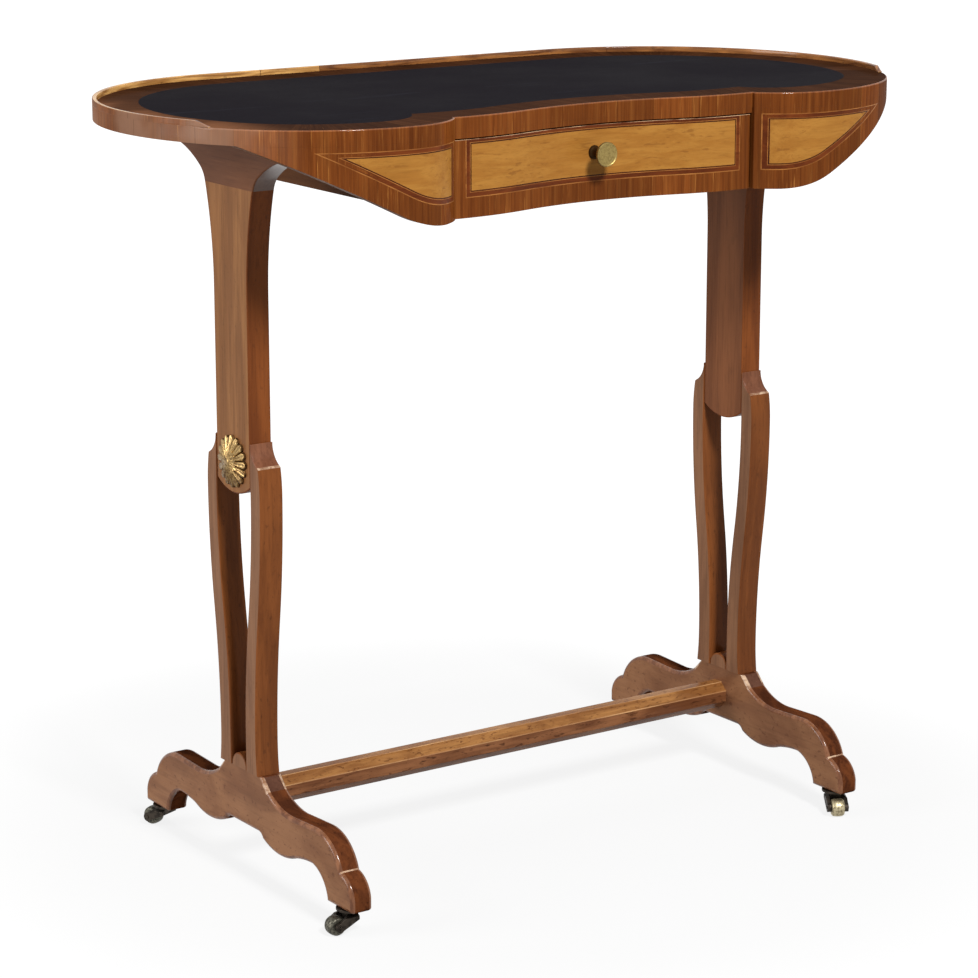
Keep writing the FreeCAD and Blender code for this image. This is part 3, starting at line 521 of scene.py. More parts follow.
class Palette:
    """Every finish of the table, built once."""

    FINISHES = (
        Crossbanding(),
        # Darker copy of the crossbanding for the top border: painted shade.
        Crossbanding("border_banding", linear(0x4D2E1C), linear(0x3A2114), linear(0x684228),
                     linear(0x28160E), linear(0x966242), coat=0.02, seed=4.0),
        Crossbanding("arris_banding", linear(0x96582A), linear(0x76401C), coat=0.55, coat_roughness=0.1),
        StreakedLeather(),
        Wood("satinwood", Grain.ACROSS, linear(0xAE7936), linear(0xA06A2C), figure_scale=110.0,
             figure_stretch=10.0, fibre_scale=700.0, fibre_stretch=20.0, fibre_share=0.24, fleck_share=0.6,
             fleck_scale=250.0, fleck_stretch=9.0, fleck_start=0.58, stain=linear(0x805021), roughness=0.38,
             seed=1.0),
        Wood("shaft_wood", Grain.UPRIGHT, linear(0x894C24), linear(0x6C381A), figure_scale=30.0,
             fleck_share=0.25, fleck_scale=220.0, seed=2.0),
        # Paler copy of shaft_wood for the outer flanks: painted sheen.
        Wood("shaft_outside", Grain.UPRIGHT, linear(0x9D6C42), linear(0x845734), figure_scale=90.0,
             figure_stretch=18.0, fleck_share=0.2, fleck_scale=260.0, seed=2.5),
        # Copy for the inner flanks, darker than shaft_outside: painted shade.
        Wood("shaft_inside", Grain.UPRIGHT, linear(0x8A5636), linear(0x72452B), figure_scale=26.0,
             fleck_share=0.1, seed=2.7),
        Wood("branch_wood", Grain.UPRIGHT, linear(0x884F28), linear(0x6C3C1E), figure_scale=34.0,
             fleck_share=0.35, fleck_scale=260.0, seed=3.0),
        Wood("branch_shoulder", Grain.UPRIGHT, linear(0x885840), linear(0x6E4430), figure_scale=60.0,
             fleck_share=0.4, fleck_scale=240.0, coat=0.1, seed=3.2),
        # Paler, greyer copy of branch_wood for the flanks: painted sheen.
        Wood("branch_flank", Grain.UPRIGHT, linear(0x91674A), linear(0x7A543C), figure_scale=44.0,
             fleck_share=0.35, fleck_scale=300.0, stain=linear(0x603C2C), seed=3.5),
        Wood("bearer_wood", Grain.DEEP, linear(0x7D5136), linear(0x613C28), seed=4.0),
        # Greyer copy of bearer_wood for the bearer's edge and cove: painted reflection, beside its real
        # gloss.
        Wood("bearer_cove", Grain.DEEP, linear(0x705242), linear(0x583E32), specular=0.25, coat=0.34,
             coat_roughness=0.2, seed=4.0),
        Wood("foot_wood", Grain.DEEP, linear(0x6E3D22), linear(0x4A2819), figure_scale=60.0,
             figure_stretch=2.5, fleck_share=0.6, fleck_scale=190.0, fleck_start=0.59,
             stain=linear(0x3A1E12), specular=0.0, coat=0.0, seed=5.0),
        # Greyer finish of the feet's sloped seat facets: painted sheen.
        Wood("foot_facet", Grain.DEEP, linear(0x704C3C), linear(0x54362A), fleck_share=0.4,
             fleck_scale=160.0, specular=0.0, coat=0.04, seed=5.2),
        # Paler finish of facet arrises, toe creases and shoulder arrises: painted highlight, partly wear.
        Wood("facet_edge", Grain.DEEP, linear(0xD8B89A), linear(0x8A5E42), figure_scale=110.0,
             figure_stretch=2.0, coat=0.3, coat_roughness=0.12, seed=5.3),
        # Paler copy of foot_wood for the flanks: painted sheen.
        Wood("foot_flank", Grain.DEEP, linear(0x996C4C), linear(0x7E543A), figure_scale=24.0,
             figure_stretch=2.0, fibre_share=0.2, fleck_share=0.6, fleck_scale=240.0, fleck_stretch=1.5,
             fleck_start=0.58, stain=linear(0x623C2A), seed=5.5),
        # Stretcher by facing: golden upward facets and darker stretcher_low, painted light and shade; paler
        # stretcher_edge, painted highlight and partly wear.
        Wood("stretcher_wood", Grain.ACROSS, linear(0xAC7844), linear(0x84542C), figure_scale=60.0,
             figure_stretch=4.0, fleck_share=0.75, fleck_scale=420.0, fleck_stretch=2.6, fleck_start=0.56,
             stain=linear(0x5C3218), coat=0.14, coat_roughness=0.1, seed=6.0),
        Wood("stretcher_edge", Grain.ACROSS, linear(0xCE9E6C), linear(0x96623A), figure_scale=60.0,
             fleck_share=0.6, fleck_scale=240.0, stain=linear(0x784A28), coat=0.3, coat_roughness=0.12,
             seed=6.2),
        Wood("stretcher_low", Grain.ACROSS, linear(0x92603E), linear(0x6E4228), figure_scale=60.0,
             figure_stretch=5.0, fleck_share=0.85, fleck_scale=300.0, fleck_stretch=4.0, fleck_start=0.56,
             stain=linear(0x482816), coat=0.1, coat_roughness=0.12, seed=6.4),
        Wood("carcase_wood", Grain.DEEP, linear(0x6A4428), linear(0x50301C), roughness=0.5, coat=0.0,
             fleck_share=0.3, seed=7.0),
        *(Wood(name, Grain.FOLLOWING, light, dark, figure_scale=210.0, figure_stretch=12.0,
               fleck_share=0.45, fleck_scale=180.0, coat=0.45, coat_roughness=0.1, seed=seed)
          for name, light, dark, seed in (
              ("gallery_honey", linear(0xECB66C), linear(0x96622E), 8.0),
              ("gallery_red", linear(0xAA703C), linear(0x60361C), 8.5))),
        # Paler finish of the feet's arrises: painted highlight, partly wear.
        Wood("worn_arris", Grain.UPRIGHT, linear(0x906042), linear(0x6C422B), figure_scale=110.0,
             figure_stretch=2.0, fleck_share=0.4, fleck_scale=150.0, stain=linear(0x46281A), roughness=0.28,
             coat=0.4, coat_roughness=0.12, seed=9.0),
        Wood("light_string", Grain.ACROSS, linear(0xAC7038), linear(0x844E24), figure_scale=90.0,
             seed=10.0),
        # Light bead, paler in patches: painted glints.
        Wood("bead_string", Grain.ACROSS, linear(0xE6B88E), linear(0x763E20), figure_scale=90.0,
             figure_stretch=4.0, coat=0.4, coat_roughness=0.1, seed=10.5),
        Wood("gap_shade", Grain.ACROSS, linear(0x240F06), linear(0x160904), specular=0.0, coat=0.0,
             seed=12.5),
        Wood("red_band", Grain.ACROSS, linear(0x703615), linear(0x56260E), figure_scale=60.0, seed=11.0),
        Wood("dark_string", Grain.ACROSS, linear(0x50240E), linear(0x38180A), figure_scale=60.0, seed=12.0),
        CastMetal("gilt_brass", linear(0xAA8E5E), linear(0x5C442A), 0.3, 0.8, 420.0, darker_below=0.392),
        CastMetal("gilt_shade", linear(0x5C4226), linear(0x382616), 0.5, 0.6),
        CastMetal("knob_shade", linear(0x402E1A), linear(0x241A10), 0.5, 0.6),
        CastMetal("knob_brass", linear(0x9A8652), linear(0x726038), 0.42, 0.7, 420.0),
        CastMetal("pale_brass", linear(0xBAAE8E), linear(0x60543E), 0.44, 0.85, 420.0),
        CastMetal("dark_bronze", linear(0x423B34), linear(0x1E1B19), 0.46, 0.8),
        CastMetal("wheel_bronze", linear(0x625F54), linear(0x262522), 0.46, 0.9, 420.0),
        CastMetal("dull_steel", linear(0x787672), linear(0x463E38), 0.42, 0.6),
    )

    def build(self) -> Finishes:
        """Builds the materials by name."""
        return {finish.name: finish.build() for finish in self.FINISHES}


def bearing_point(centre: Spot, radius: float, bearing: float) -> Spot:
    """Plan point of a circle, with the bearing taken from the back towards the right."""
    turn = radians(bearing)
    return centre[0] + radius * sin(turn), centre[1] + radius * cos(turn)


def between(a: Sequence[float], b: Sequence[float], share: float) -> tuple[float, ...]:
    """Point at a share of the way from one point to another."""
    return tuple(p + (q - p) * share for p, q in zip(a, b))


def linked(name: str, data: ID) -> Object:
    """Object of some data, put into the scene.

    Args:
        name: Name of the object.
        data: Its mesh, lamp or camera.

    Returns:
        The object, at the origin.
    """
    made = bpy.data.objects.new(name, data)
    bpy.context.scene.collection.objects.link(made)
    return made


def meshed(name: str, bm: BMesh) -> Mesh:
    """Mesh of a bmesh, which is freed.

    Args:
        name: Name of the mesh.
        bm: The bmesh.

    Returns:
        The mesh.
    """
    mesh = bpy.data.meshes.new(name)
    bm.to_mesh(mesh)
    bm.free()
    return mesh


@dataclass(frozen=True)
class Station:
    """One place on the outline of the top.

    Attributes:
        outer: Point on the edge.
        inner: Matching point on the leather's outline.
        normal: Outward direction, longer where it is mitred at a corner.
        run: Distance along the edge from the middle of the back.
    """

    outer: Spot
    inner: Spot
    normal: Spot
    run: float

    def inset(self, depth: float) -> Spot:
        """Point inside the edge."""
        return self.outer[0] - self.normal[0] * depth, self.outer[1] - self.normal[1] * depth

    def towards_leather(self, share: float) -> Spot:
        """Point between the edge and the leather."""
        return between(self.outer, self.inner, share)

    def mitred(self) -> "Station":
        """The same place with its direction mitred to the notch's upright side, which faces the middle."""
        across, up = self.normal[0] - 1.0, self.normal[1]
        size = across ** 2 + up ** 2
        return Station(self.outer, self.inner, (2 * across / size, 2 * up / size), self.run)

    def mirrored(self, whole_run: float) -> "Station":
        """The same place on the left half."""
        flip = [(-p[0], p[1]) for p in (self.outer, self.inner, self.normal)]
        return Station(*flip, whole_run - self.run)


@dataclass(frozen=True)
class KidneyPlan:
    """Tangent arcs of the plan, the same as those of the solids."""

    back_straight_half: float = 0.196
    corner_radius: float = 0.2015
    end_radius: float = 0.231
    shoulder_radius: float = 0.1667
    nose_radius: float = 0.084
    nose_reach: float = 0.0627
    corner_turn: float = 55.0
    end_turn: float = 60.8
    hollow_setback: float = 0.0496
    hollow_radius: float = 0.332
    hollow_turn: float = 14.8
    swell_radius: float = 0.2527
    leather_border: float = 0.0415
    leather_front_border: float = 0.0395
    leather_nose_radius: float = 0.050
    straight_steps: int = 7
    corner_steps: int = 18
    end_steps: int = 22
    shoulder_steps: int = 26
    nose_steps: int = 14
    swell_steps: int = 16
    hollow_steps: int = 10

    @cached_property
    def shoulder_bearing(self) -> float:
        """Bearing where the end arc passes into the shoulder."""
        return self.corner_turn + self.end_turn

    @cached_property
    def half_depth(self) -> float:
        """Half of the top's depth."""
        corner = (self.corner_radius - self.end_radius) * cos(radians(self.corner_turn))
        end = (self.end_radius - self.shoulder_radius) * cos(radians(self.shoulder_bearing))
        return (self.corner_radius + self.shoulder_radius - corner - end) / 2

    @cached_property
    def corner(self) -> Spot:
        """Centre of the right back corner."""
        return self.back_straight_half, self.half_depth - self.corner_radius

    @cached_property
    def end(self) -> Spot:
        """Centre of the right end."""
        return bearing_point(self.corner, self.corner_radius - self.end_radius, self.corner_turn)

    @cached_property
    def shoulder(self) -> Spot:
        """Centre of the right shoulder."""
        return bearing_point(self.end, self.end_radius - self.shoulder_radius, self.shoulder_bearing)

    @cached_property
    def nose(self) -> Spot:
        """Centre of the right nose."""
        return self.shoulder[0], self.nose_radius - self.half_depth

    @cached_property
    def notch_half(self) -> float:
        """Half of the width between the notches."""
        return self.nose[0] - self.nose_reach

    @cached_property
    def hollow_front(self) -> float:
        """Depth of the hollow front at the middle."""
        return self.hollow_setback - self.half_depth

    @cached_property
    def hollow(self) -> Spot:
        """Centre of the hollow."""
        return 0.0, self.hollow_front - self.hollow_radius

    @cached_property
    def swell(self) -> Spot:
        """Centre of the right swell."""
        return bearing_point(self.hollow, self.hollow_radius + self.swell_radius, self.hollow_turn)

    @cached_property
    def nose_stop(self) -> float:
        """Bearing where the nose meets the notch."""
        return 180 + degrees(asin(self.nose_reach / self.nose_radius))

    def swell_stop(self, radius: float, half_width: float) -> float:
        """Bearing where a swell arc reaches a half width."""
        return 180 - degrees(asin((half_width - self.swell[0]) / radius))

    @cached_property
    def cusp(self) -> tuple[float, float]:
        """Bearings of the leather's cusp from the leather's nose centre and from the swell centre."""
        first, second = self.leather_nose, self.swell
        first_radius, second_radius = self.leather_nose_radius, self.swell_radius - self.leather_front_border
        across, up = second[0] - first[0], second[1] - first[1]
        gap = hypot(across, up)
        along = (gap ** 2 + first_radius ** 2 - second_radius ** 2) / (2 * gap)
        rise = sqrt(first_radius ** 2 - along ** 2)
        points = [(first[0] + across / gap * along + up / gap * r,
                   first[1] + up / gap * along - across / gap * r) for r in (rise, -rise)]
        x, y = min(points, key=lambda p: p[1])
        return tuple(degrees(atan2(x - c[0], y - c[1])) % 360 for c in (first, second))

    @cached_property
    def leather_nose(self) -> Spot:
        """Centre of the leather's nose."""
        return self.nose[0], self.leather_border + self.leather_nose_radius - self.half_depth

    def arc_stations(self, count: int, outer: tuple, inner: tuple, run: float) -> tuple[list[Station], float]:
        """Stations along one arc of the right half.

        Args:
            count: How many steps the arc has.
            outer: Centre, radius, first and last bearing of the edge.
            inner: The same of the leather's outline.
            run: Distance along the edge at the start.

        Returns:
            The stations and the distance at the arc's end.
        """
        centre, radius, first, last = outer
        facing = -1.0 if centre == self.hollow else 1.0
        length = radius * abs(radians(last - first))
        stations = []
        for step in range(count + 1):
            share = step / count
            bearing = first + (last - first) * share
            inner_bearing = inner[2] + (inner[3] - inner[2]) * share
            turn = radians(bearing)
            normal = (facing * sin(turn), facing * cos(turn))
            stations.append(Station(bearing_point(centre, radius, bearing),
                                    bearing_point(inner[0], inner[1], inner_bearing),
                                    normal, run + length * share))
        return stations, run + length

    @cached_property
    def right_half(self) -> list[Station]:
        """Stations of the right half from the middle of the back to the middle of the front."""
        border = self.leather_border
        stations, run = [], self.back_straight_half
        for step in range(self.straight_steps):
            x = self.back_straight_half * step / self.straight_steps
            stations.append(Station((x, self.half_depth), (x, self.half_depth - border), (0.0, 1.0), x))
        at_nose, at_swell = self.cusp
        shoulder = self.shoulder_bearing
        for count, centre, radius, first, last in (
                (self.corner_steps, self.corner, self.corner_radius, 0, self.corner_turn),
                (self.end_steps, self.end, self.end_radius, self.corner_turn, shoulder),
                (self.shoulder_steps, self.shoulder, self.shoulder_radius, shoulder, 180)):
            part, run = self.arc_stations(count, (centre, radius, first, last),
                                          (centre, radius - border, first, last), run)
            stations += part[1:] if first else part
        part, run = self.arc_stations(self.nose_steps, (self.nose, self.nose_radius, 180, self.nose_stop),
                                      (self.leather_nose, self.leather_nose_radius, 180, at_nose), run)
        stations += part[1:]
        start = self.swell_stop(self.swell_radius, self.notch_half)
        inner_radius = self.swell_radius - self.leather_front_border
        stop = 180 + self.hollow_turn
        swell_start = bearing_point(self.swell, self.swell_radius, start)
        run += dist(stations[-1].outer, swell_start)
        part, run = self.arc_stations(self.swell_steps, (self.swell, self.swell_radius, start, stop),
                                      (self.swell, inner_radius, at_swell, stop), run)
        stations[-1], part[0] = stations[-1].mitred(), part[0].mitred()
        stations += part
        part, run = self.arc_stations(self.hollow_steps,
                                      (self.hollow, self.hollow_radius, self.hollow_turn, 0),
                                      (self.hollow, self.hollow_radius + self.leather_front_border,
                                       self.hollow_turn, 0), run)
        return stations + part[1:]

    @cached_property
    def stations(self) -> list[Station]:
        """Stations right round the top, the last one at the first one's place."""
        whole = 2 * self.right_half[-1].run
        return self.right_half + [s.mirrored(whole) for s in reversed(self.right_half[:-1])]

    def front_depth(self, x: float, inset: float) -> float:
        """Y of the front at a place between the notches.

        Args:
            x: The place.
            inset: How far the face is drawn in.

        Returns:
            The y.
        """
        side = abs(x)
        radius = self.hollow_radius + inset
        if side <= radius * sin(radians(self.hollow_turn)):
            return self.hollow[1] + sqrt(radius ** 2 - side ** 2)
        radius = self.swell_radius - inset
        return self.swell[1] - sqrt(radius ** 2 - (side - self.swell[0]) ** 2)

    def lobe_depth(self, x: float, inset: float) -> float:
        """Y of a lobe's outer face at a place beyond the notch.

        Args:
            x: The place.
            inset: How far the face is drawn in.

        Returns:
            The y.
        """
        side = abs(x)
        centre, radius = (self.nose, self.nose_radius) if side < self.nose[0] else \
            (self.shoulder, self.shoulder_radius)
        return centre[1] - sqrt((radius - inset) ** 2 - (side - centre[0]) ** 2)

    def run_at(self, x: float, y: float) -> float:
        """Distance along the edge, from the middle of the back, of the place next to a point.

        Args:
            x: X of the point.
            y: Y of the point.

        Returns:
            The distance, the right way round.
        """
        side, last = abs(x), self.right_half[-1].run
        split = self.hollow_radius * sin(radians(self.hollow_turn))
        hollow_run = self.hollow_radius * radians(self.hollow_turn)
        start = self.swell_stop(self.swell_radius, self.notch_half)
        swell_run = self.swell_radius * radians(180 + self.hollow_turn - start)
        if side <= split:
            run = last - self.hollow_radius * asin(side / self.hollow_radius)
        elif side <= self.notch_half:
            bearing = self.swell_stop(self.swell_radius, side)
            run = last - hollow_run - self.swell_radius * radians(180 + self.hollow_turn - bearing)
        else:
            notch_run = last - hollow_run - swell_run
            nose_end = bearing_point(self.nose, self.nose_radius, self.nose_stop)
            notch_run -= dist(nose_end, bearing_point(self.swell, self.swell_radius, start))
            if side < self.nose[0]:
                bearing = degrees(atan2(side - self.nose[0], y - self.nose[1])) % 360
                run = notch_run - self.nose_radius * radians(self.nose_stop - bearing)
            else:
                bearing = degrees(atan2(side - self.shoulder[0], y - self.shoulder[1])) % 360
                nose_run = self.nose_radius * radians(self.nose_stop - 180)
                run = notch_run - nose_run - self.shoulder_radius * radians(180 - bearing)
        return run if x > 0 else 2 * last - run


PLAN = KidneyPlan()


class Loft:
    """A mesh of columns of points, joined by quads, with a UV for every corner."""

    def __init__(self, name: str) -> None:
        """Starts an empty mesh.

        Args:
            name: Name of the mesh and its object.
        """
        self.name = name
        self.bm = bmesh.new()
        self.uv = self.bm.loops.layers.uv.new(UV_NAME)

    def column(self, points: Sequence[Vector]) -> list[BMVert]:
        """Vertices of one column."""
        return [self.bm.verts.new(point) for point in points]

    def quad(self, corners: Sequence[BMVert], uvs: Sequence[Spot], slot: int = 0) -> None:
        """Adds a smooth face.

        Args:
            corners: Its vertices in order.
            uvs: UV of each corner.
            slot: Material slot.
        """
        face = self.bm.faces.new(corners)
        face.material_index = slot
        face.smooth = True
        for loop, uv in zip(face.loops, uvs):
            loop[self.uv].uv = uv

    def sweep(self, columns: Sequence[Sequence[Vector]], uvs: Sequence[Sequence[Spot]],
              slots: Sequence[int]) -> list[list[BMVert]]:
        """Quads between neighbouring columns.

        Args:
            columns: Points of each column.
            uvs: UV of each point.
            slots: Material slot of each row of faces.

        Returns:
            The vertices of each column.
        """
        made = [self.column(points) for points in columns]
        for left, right, uv_left, uv_right in zip(made, made[1:], uvs, uvs[1:]):
            for row, slot in enumerate(slots):
                self.quad((left[row], right[row], right[row + 1], left[row + 1]),
                          (uv_left[row], uv_right[row], uv_right[row + 1], uv_left[row + 1]), slot)
        return made

    def cap(self, verts: Sequence[BMVert], slot: int) -> None:
        """Adds a flat face, cut into triangles.

        Args:
            verts: Its outline; points on the same place count once.
            slot: Material slot.
        """
        ring = []
        for vert in verts:
            if not ring or (vert.co - ring[-1].co).length > MERGE_GAP:
                ring.append(vert)
        if (ring[0].co - ring[-1].co).length <= MERGE_GAP:
            ring.pop()
        face = self.bm.faces.new(ring)
        face.material_index = slot
        face.normal_update()
        for loop in face.loops:
            loop[self.uv].uv = loop.vert.co.xy
        bmesh.ops.triangulate(self.bm, faces=[face])

    def finish(self, materials: Iterable[Material], sharp: float = 32.0) -> Object:
        """Merges doubles, turns the faces outwards and makes the object.

        Args:
            materials: Materials by slot.
            sharp: Angle, in degrees, above which an edge stays sharp.

        Returns:
            The object at the origin.
        """
        bmesh.ops.remove_doubles(self.bm, verts=self.bm.verts, dist=MERGE_GAP)
        bmesh.ops.dissolve_degenerate(self.bm, edges=self.bm.edges, dist=SLIVER)
        bmesh.ops.recalc_face_normals(self.bm, faces=self.bm.faces)
        return dress(self.name, meshed(self.name, self.bm), materials, sharp)


def dress(name: str, mesh: Mesh, materials: Iterable[Material],
          sharp: float = 32.0) -> Object:
    """Object of a mesh with its materials and smooth faces between sharp edges.

    Args:
        name: Name of the object.
        mesh: The mesh, whose faces keep their slot numbers.
        materials: Materials by slot.
        sharp: Angle, in degrees, above which an edge stays sharp.

    Returns:
        The object.
    """
    slots = [polygon.material_index for polygon in mesh.polygons]
    mesh.materials.clear()
    for material in materials:
        mesh.materials.append(material)
    mesh.polygons.foreach_set("material_index", slots)
    mesh.shade_smooth()
    mesh.set_sharp_from_angle(angle=radians(sharp))
    return linked(name, mesh)


def settle(piece: Object, body: str, slot: Slot, *nodes: str) -> None:
    """Hands a finished piece to the frame and reports it.

    Args:
        piece: The piece, in place.
        body: The body that it rides on.
        slot: The record's slot that the piece stands in for; not used.
        nodes: The solids that it stands for.
    """
    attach(piece, body)
    if nodes:
        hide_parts(*nodes)
    log.info("%s: %d faces on %s", piece.name, len(piece.data.polygons), body)


def paint(node: str, material: Material) -> None:
    """Gives a solid of the frame its finish.

    Args:
        node: The solid.
        material: The finish.
    """
    mesh = frame["nodes"][node].data
    mesh.materials.clear()
    mesh.materials.append(material)
    log.info("%s: painted %s", node, material.name)


def baked(piece: Object) -> Mesh:
    """Plain mesh of an object with its modifiers applied, which are then removed.

    Args:
        piece: The object.

    Returns:
        The mesh.
    """
    evaluated = piece.evaluated_get(bpy.context.evaluated_depsgraph_get())
    mesh = bpy.data.meshes.new_from_object(evaluated)
    piece.modifiers.clear()
    return mesh


def softened(node: str, name: str, width: float, materials: Sequence[Material],
             keep: float = inf) -> Object:
    """Copy of a solid with its arrises rounded over.

    Args:
        node: The solid.
        name: Name of the new piece.
        width: Width of the rounding.
        materials: The finish, and the finish of the arrises where there is a second one.
        keep: Level at and above which the arrises stay sharp.

    Returns:
        The piece, at the origin.
    """
    mesh = frame["nodes"][node].data.copy()
    bm = bmesh.new()
    bm.from_mesh(mesh)
    bmesh.ops.remove_doubles(bm, verts=bm.verts, dist=WELD_GAP)
    bmesh.ops.dissolve_limit(bm, angle_limit=radians(FLAT_ANGLE), verts=bm.verts, edges=bm.edges)
    weight = bm.edges.layers.float.new("bevel_weight_edge")
    for edge in bm.edges:
        high = all(vert.co.z > keep - LEVEL_GAP for vert in edge.verts)
        edge[weight] = 0.0 if high or edge.calc_face_angle(0.0) < radians(ARRIS_ANGLE) else 1.0
    bm.to_mesh(mesh)
    bm.free()
    piece = dress(name, mesh, materials, 30.0)
    rounding = piece.modifiers.new("arris", "BEVEL")
    rounding.width = width
    rounding.segments = ARRIS_FACES
    rounding.limit_method = "WEIGHT"
    rounding.harden_normals = True
    if len(materials) > 1:
        rounding.material = 1
    rounded = baked(piece)
    old = piece.data
    piece.data = rounded
    bpy.data.meshes.remove(old)
    rounded.name = name
    return piece


def flank_outline(node: str, side: str) -> tuple[list[Spot], float, float]:
    """Side view of a piece of even thickness, read from its solid.

    Args:
        node: The solid.
        side: Side of the table that it stands on.

    Returns:
        The outline as points (y, z), anticlockwise, and the lowest and highest x.
    """
    bm = bmesh.new()
    bm.from_mesh(frame["nodes"][node].data)
    bmesh.ops.remove_doubles(bm, verts=bm.verts, dist=WELD_GAP)
    spread = [vert.co.x for vert in bm.verts]
    plane = max(spread) if side == "right" else min(spread)
    flat = {face for face in bm.faces if all(abs(vert.co.x - plane) < WELD_GAP for vert in face.verts)}
    after = {}
    for edge in bm.edges:
        if sum(face in flat for face in edge.link_faces) == 1:
            for one, other in (edge.verts, reversed(edge.verts)):
                after.setdefault(one, []).append(other)
    start = max(after, key=lambda vert: vert.co.z)
    loop, last = [start], None
    while len(loop) == 1 or loop[-1] is not start:
        step = next(vert for vert in after[loop[-1]] if vert is not last)
        last = loop[-1]
        loop.append(step)
    points = [(vert.co.y, vert.co.z) for vert in loop[:-1]]
    bm.free()
    area = sum(a[0] * b[1] - b[0] * a[1] for a, b in zip(points, points[1:] + points[:1]))
    return points if area > 0 else points[::-1], min(spread), max(spread)


def neighbours(items: Sequence) -> Iterable[tuple]:
    """Each item of a closed row between the one before and the one after."""
    return zip(items[-1:] + items[:-1], items, items[1:] + items[:1])


def is_flush(point: Sequence[float], flush: Sequence[float]) -> bool:
    """Whether a point lies at a level where one piece passes into the next."""
    return any(abs(point[1] - level) < LEVEL_GAP for level in flush)


def eased(outline: Sequence[Spot], radius: float, flush: Sequence[float] = (), margin: float = 0.0,
          steps: int = 4) -> list[Spot]:
    """Outline with its outward corners rounded, but for those at the flush levels.

    Args:
        outline: The outline, anticlockwise.
        radius: Radius of the outward corners.
        flush: Levels whose corners are kept.
        margin: Distance from an inward corner at which a point is added on each side.
        steps: Steps round a corner.

    Returns:
        The new outline.
    """
    rounded = []
    for before, here, after in neighbours(outline):
        near, far = Vector(here) - Vector(before), Vector(after) - Vector(here)
        bend = atan2(near.x * far.y - near.y * far.x, near.dot(far))
        if margin and bend < -radians(CORNER_ANGLE) and min(near.length, far.length) > margin:
            rounded += [tuple(Vector(here) - near.normalized() * margin), here,
                        tuple(Vector(here) + far.normalized() * margin)]
            continue
        if bend < radians(CORNER_ANGLE) or is_flush(here, flush):
            rounded.append(here)
            continue
        reach = min(radius * tan(bend / 2), 0.45 * near.length, 0.45 * far.length)
        bow = reach / tan(bend / 2)
        first = Vector(here) - near.normalized() * reach
        centre = first + Vector((-near.y, near.x)).normalized() * bow
        for step in range(steps + 1):
            turn = Matrix.Rotation(bend * step / steps, 2)
            rounded.append(tuple(centre + turn @ (first - centre)))
    return rounded


def drawn_in(outline: Sequence[Spot], depth: float, flush: Sequence[float] = ()) -> list[Spot]:
    """Outline moved inwards without folding over itself.

    Args:
        outline: The outline, anticlockwise.
        depth: How far it moves.
        flush: Levels whose points move sideways only.

    Returns:
        The new outline, point for point.
    """
    inner = []
    for before, here, after in neighbours(outline):
        sides = [Vector((b[1] - a[1], a[0] - b[0])).normalized() for a, b in ((before, here), (here, after))]
        if is_flush(here, flush):
            side = max(sides, key=lambda face: abs(face.x))
            inner.append(Vector(here) - Vector((copysign(depth, side.x), 0)) * (abs(side.x) > 0.3))
            continue
        facing = (sides[0] + sides[1]) / max(0.4, 1 + sides[0].dot(sides[1]))
        inner.append(Vector(here) - facing * depth)
    count, folded = len(inner), True
    while folded:
        folded = False
        for index in range(count):
            after = (index + 1) % count
            along = Vector(outline[after]) - Vector(outline[index])
            step = inner[after] - inner[index]
            if step.length > SLIVER and step.dot(along) < 0:
                inner[index] = inner[after] = (inner[index] + inner[after]) / 2
                folded = True
    return [tuple(point) for point in inner]


def sawn(name: str, outline: Sequence[Spot], ends: Spot, radius: float,
         finishes: Sequence[Material], flush: Sequence[float] = (),
         steps: int = 4) -> Object:
    """Piece of one side view, with rounded arrises along both flanks.

    Args:
        name: Name of the piece.
        outline: Side view, anticlockwise.
        ends: Lowest and highest x.
        radius: Radius of the arrises.
        finishes: Finish of the edge, of the arrises and of the flanks at the lower and higher x.
        flush: Levels where the piece passes into the next one without an arris.
        steps: Faces across an arris.

    Returns:
        The piece.
    """
    loft = Loft(name)
    columns = []
    for here, within in zip(outline, drawn_in(outline, radius, flush)):
        points = []
        for end, inward in ((ends[0], 1), (ends[1], -1)):
            arris = []
            for step in range(steps + 1):
                turn = radians(90 * step / steps)
                share = 1 - sin(turn)
                arris.append(Vector((end + inward * radius * (1 - cos(turn)),
                                     *between(here, within, share))))
            points += arris[::inward]
        columns.append(points)
    rows = [1] * steps + [0] + [1] * steps
    made = loft.sweep(columns + columns[:1], [[(0.0, 0.0)] * len(columns[0])] * (len(columns) + 1), rows)
    loft.cap([column[0] for column in made[:-1]], 2)
    loft.cap([column[-1] for column in made[:-1]], 3)
    piece = loft.finish(finishes)
    keep_flanks_flat(piece.data)
    return piece


def keep_flanks_flat(mesh: Mesh) -> None:
    """Marks the outlines of a sawn piece's flanks sharp, so that they stay flat in the shading.

    Args:
        mesh: The piece, whose flanks have the slots from 2 up.
    """
    flank = {key: 0 for key in mesh.edge_keys}
    for polygon in mesh.polygons:
        for key in polygon.edge_keys:
            flank[key] += 1 if polygon.material_index > 1 else 0
    for edge in mesh.edges:
        if flank[tuple(sorted(edge.vertices))] == 1:
            edge.use_edge_sharp = True


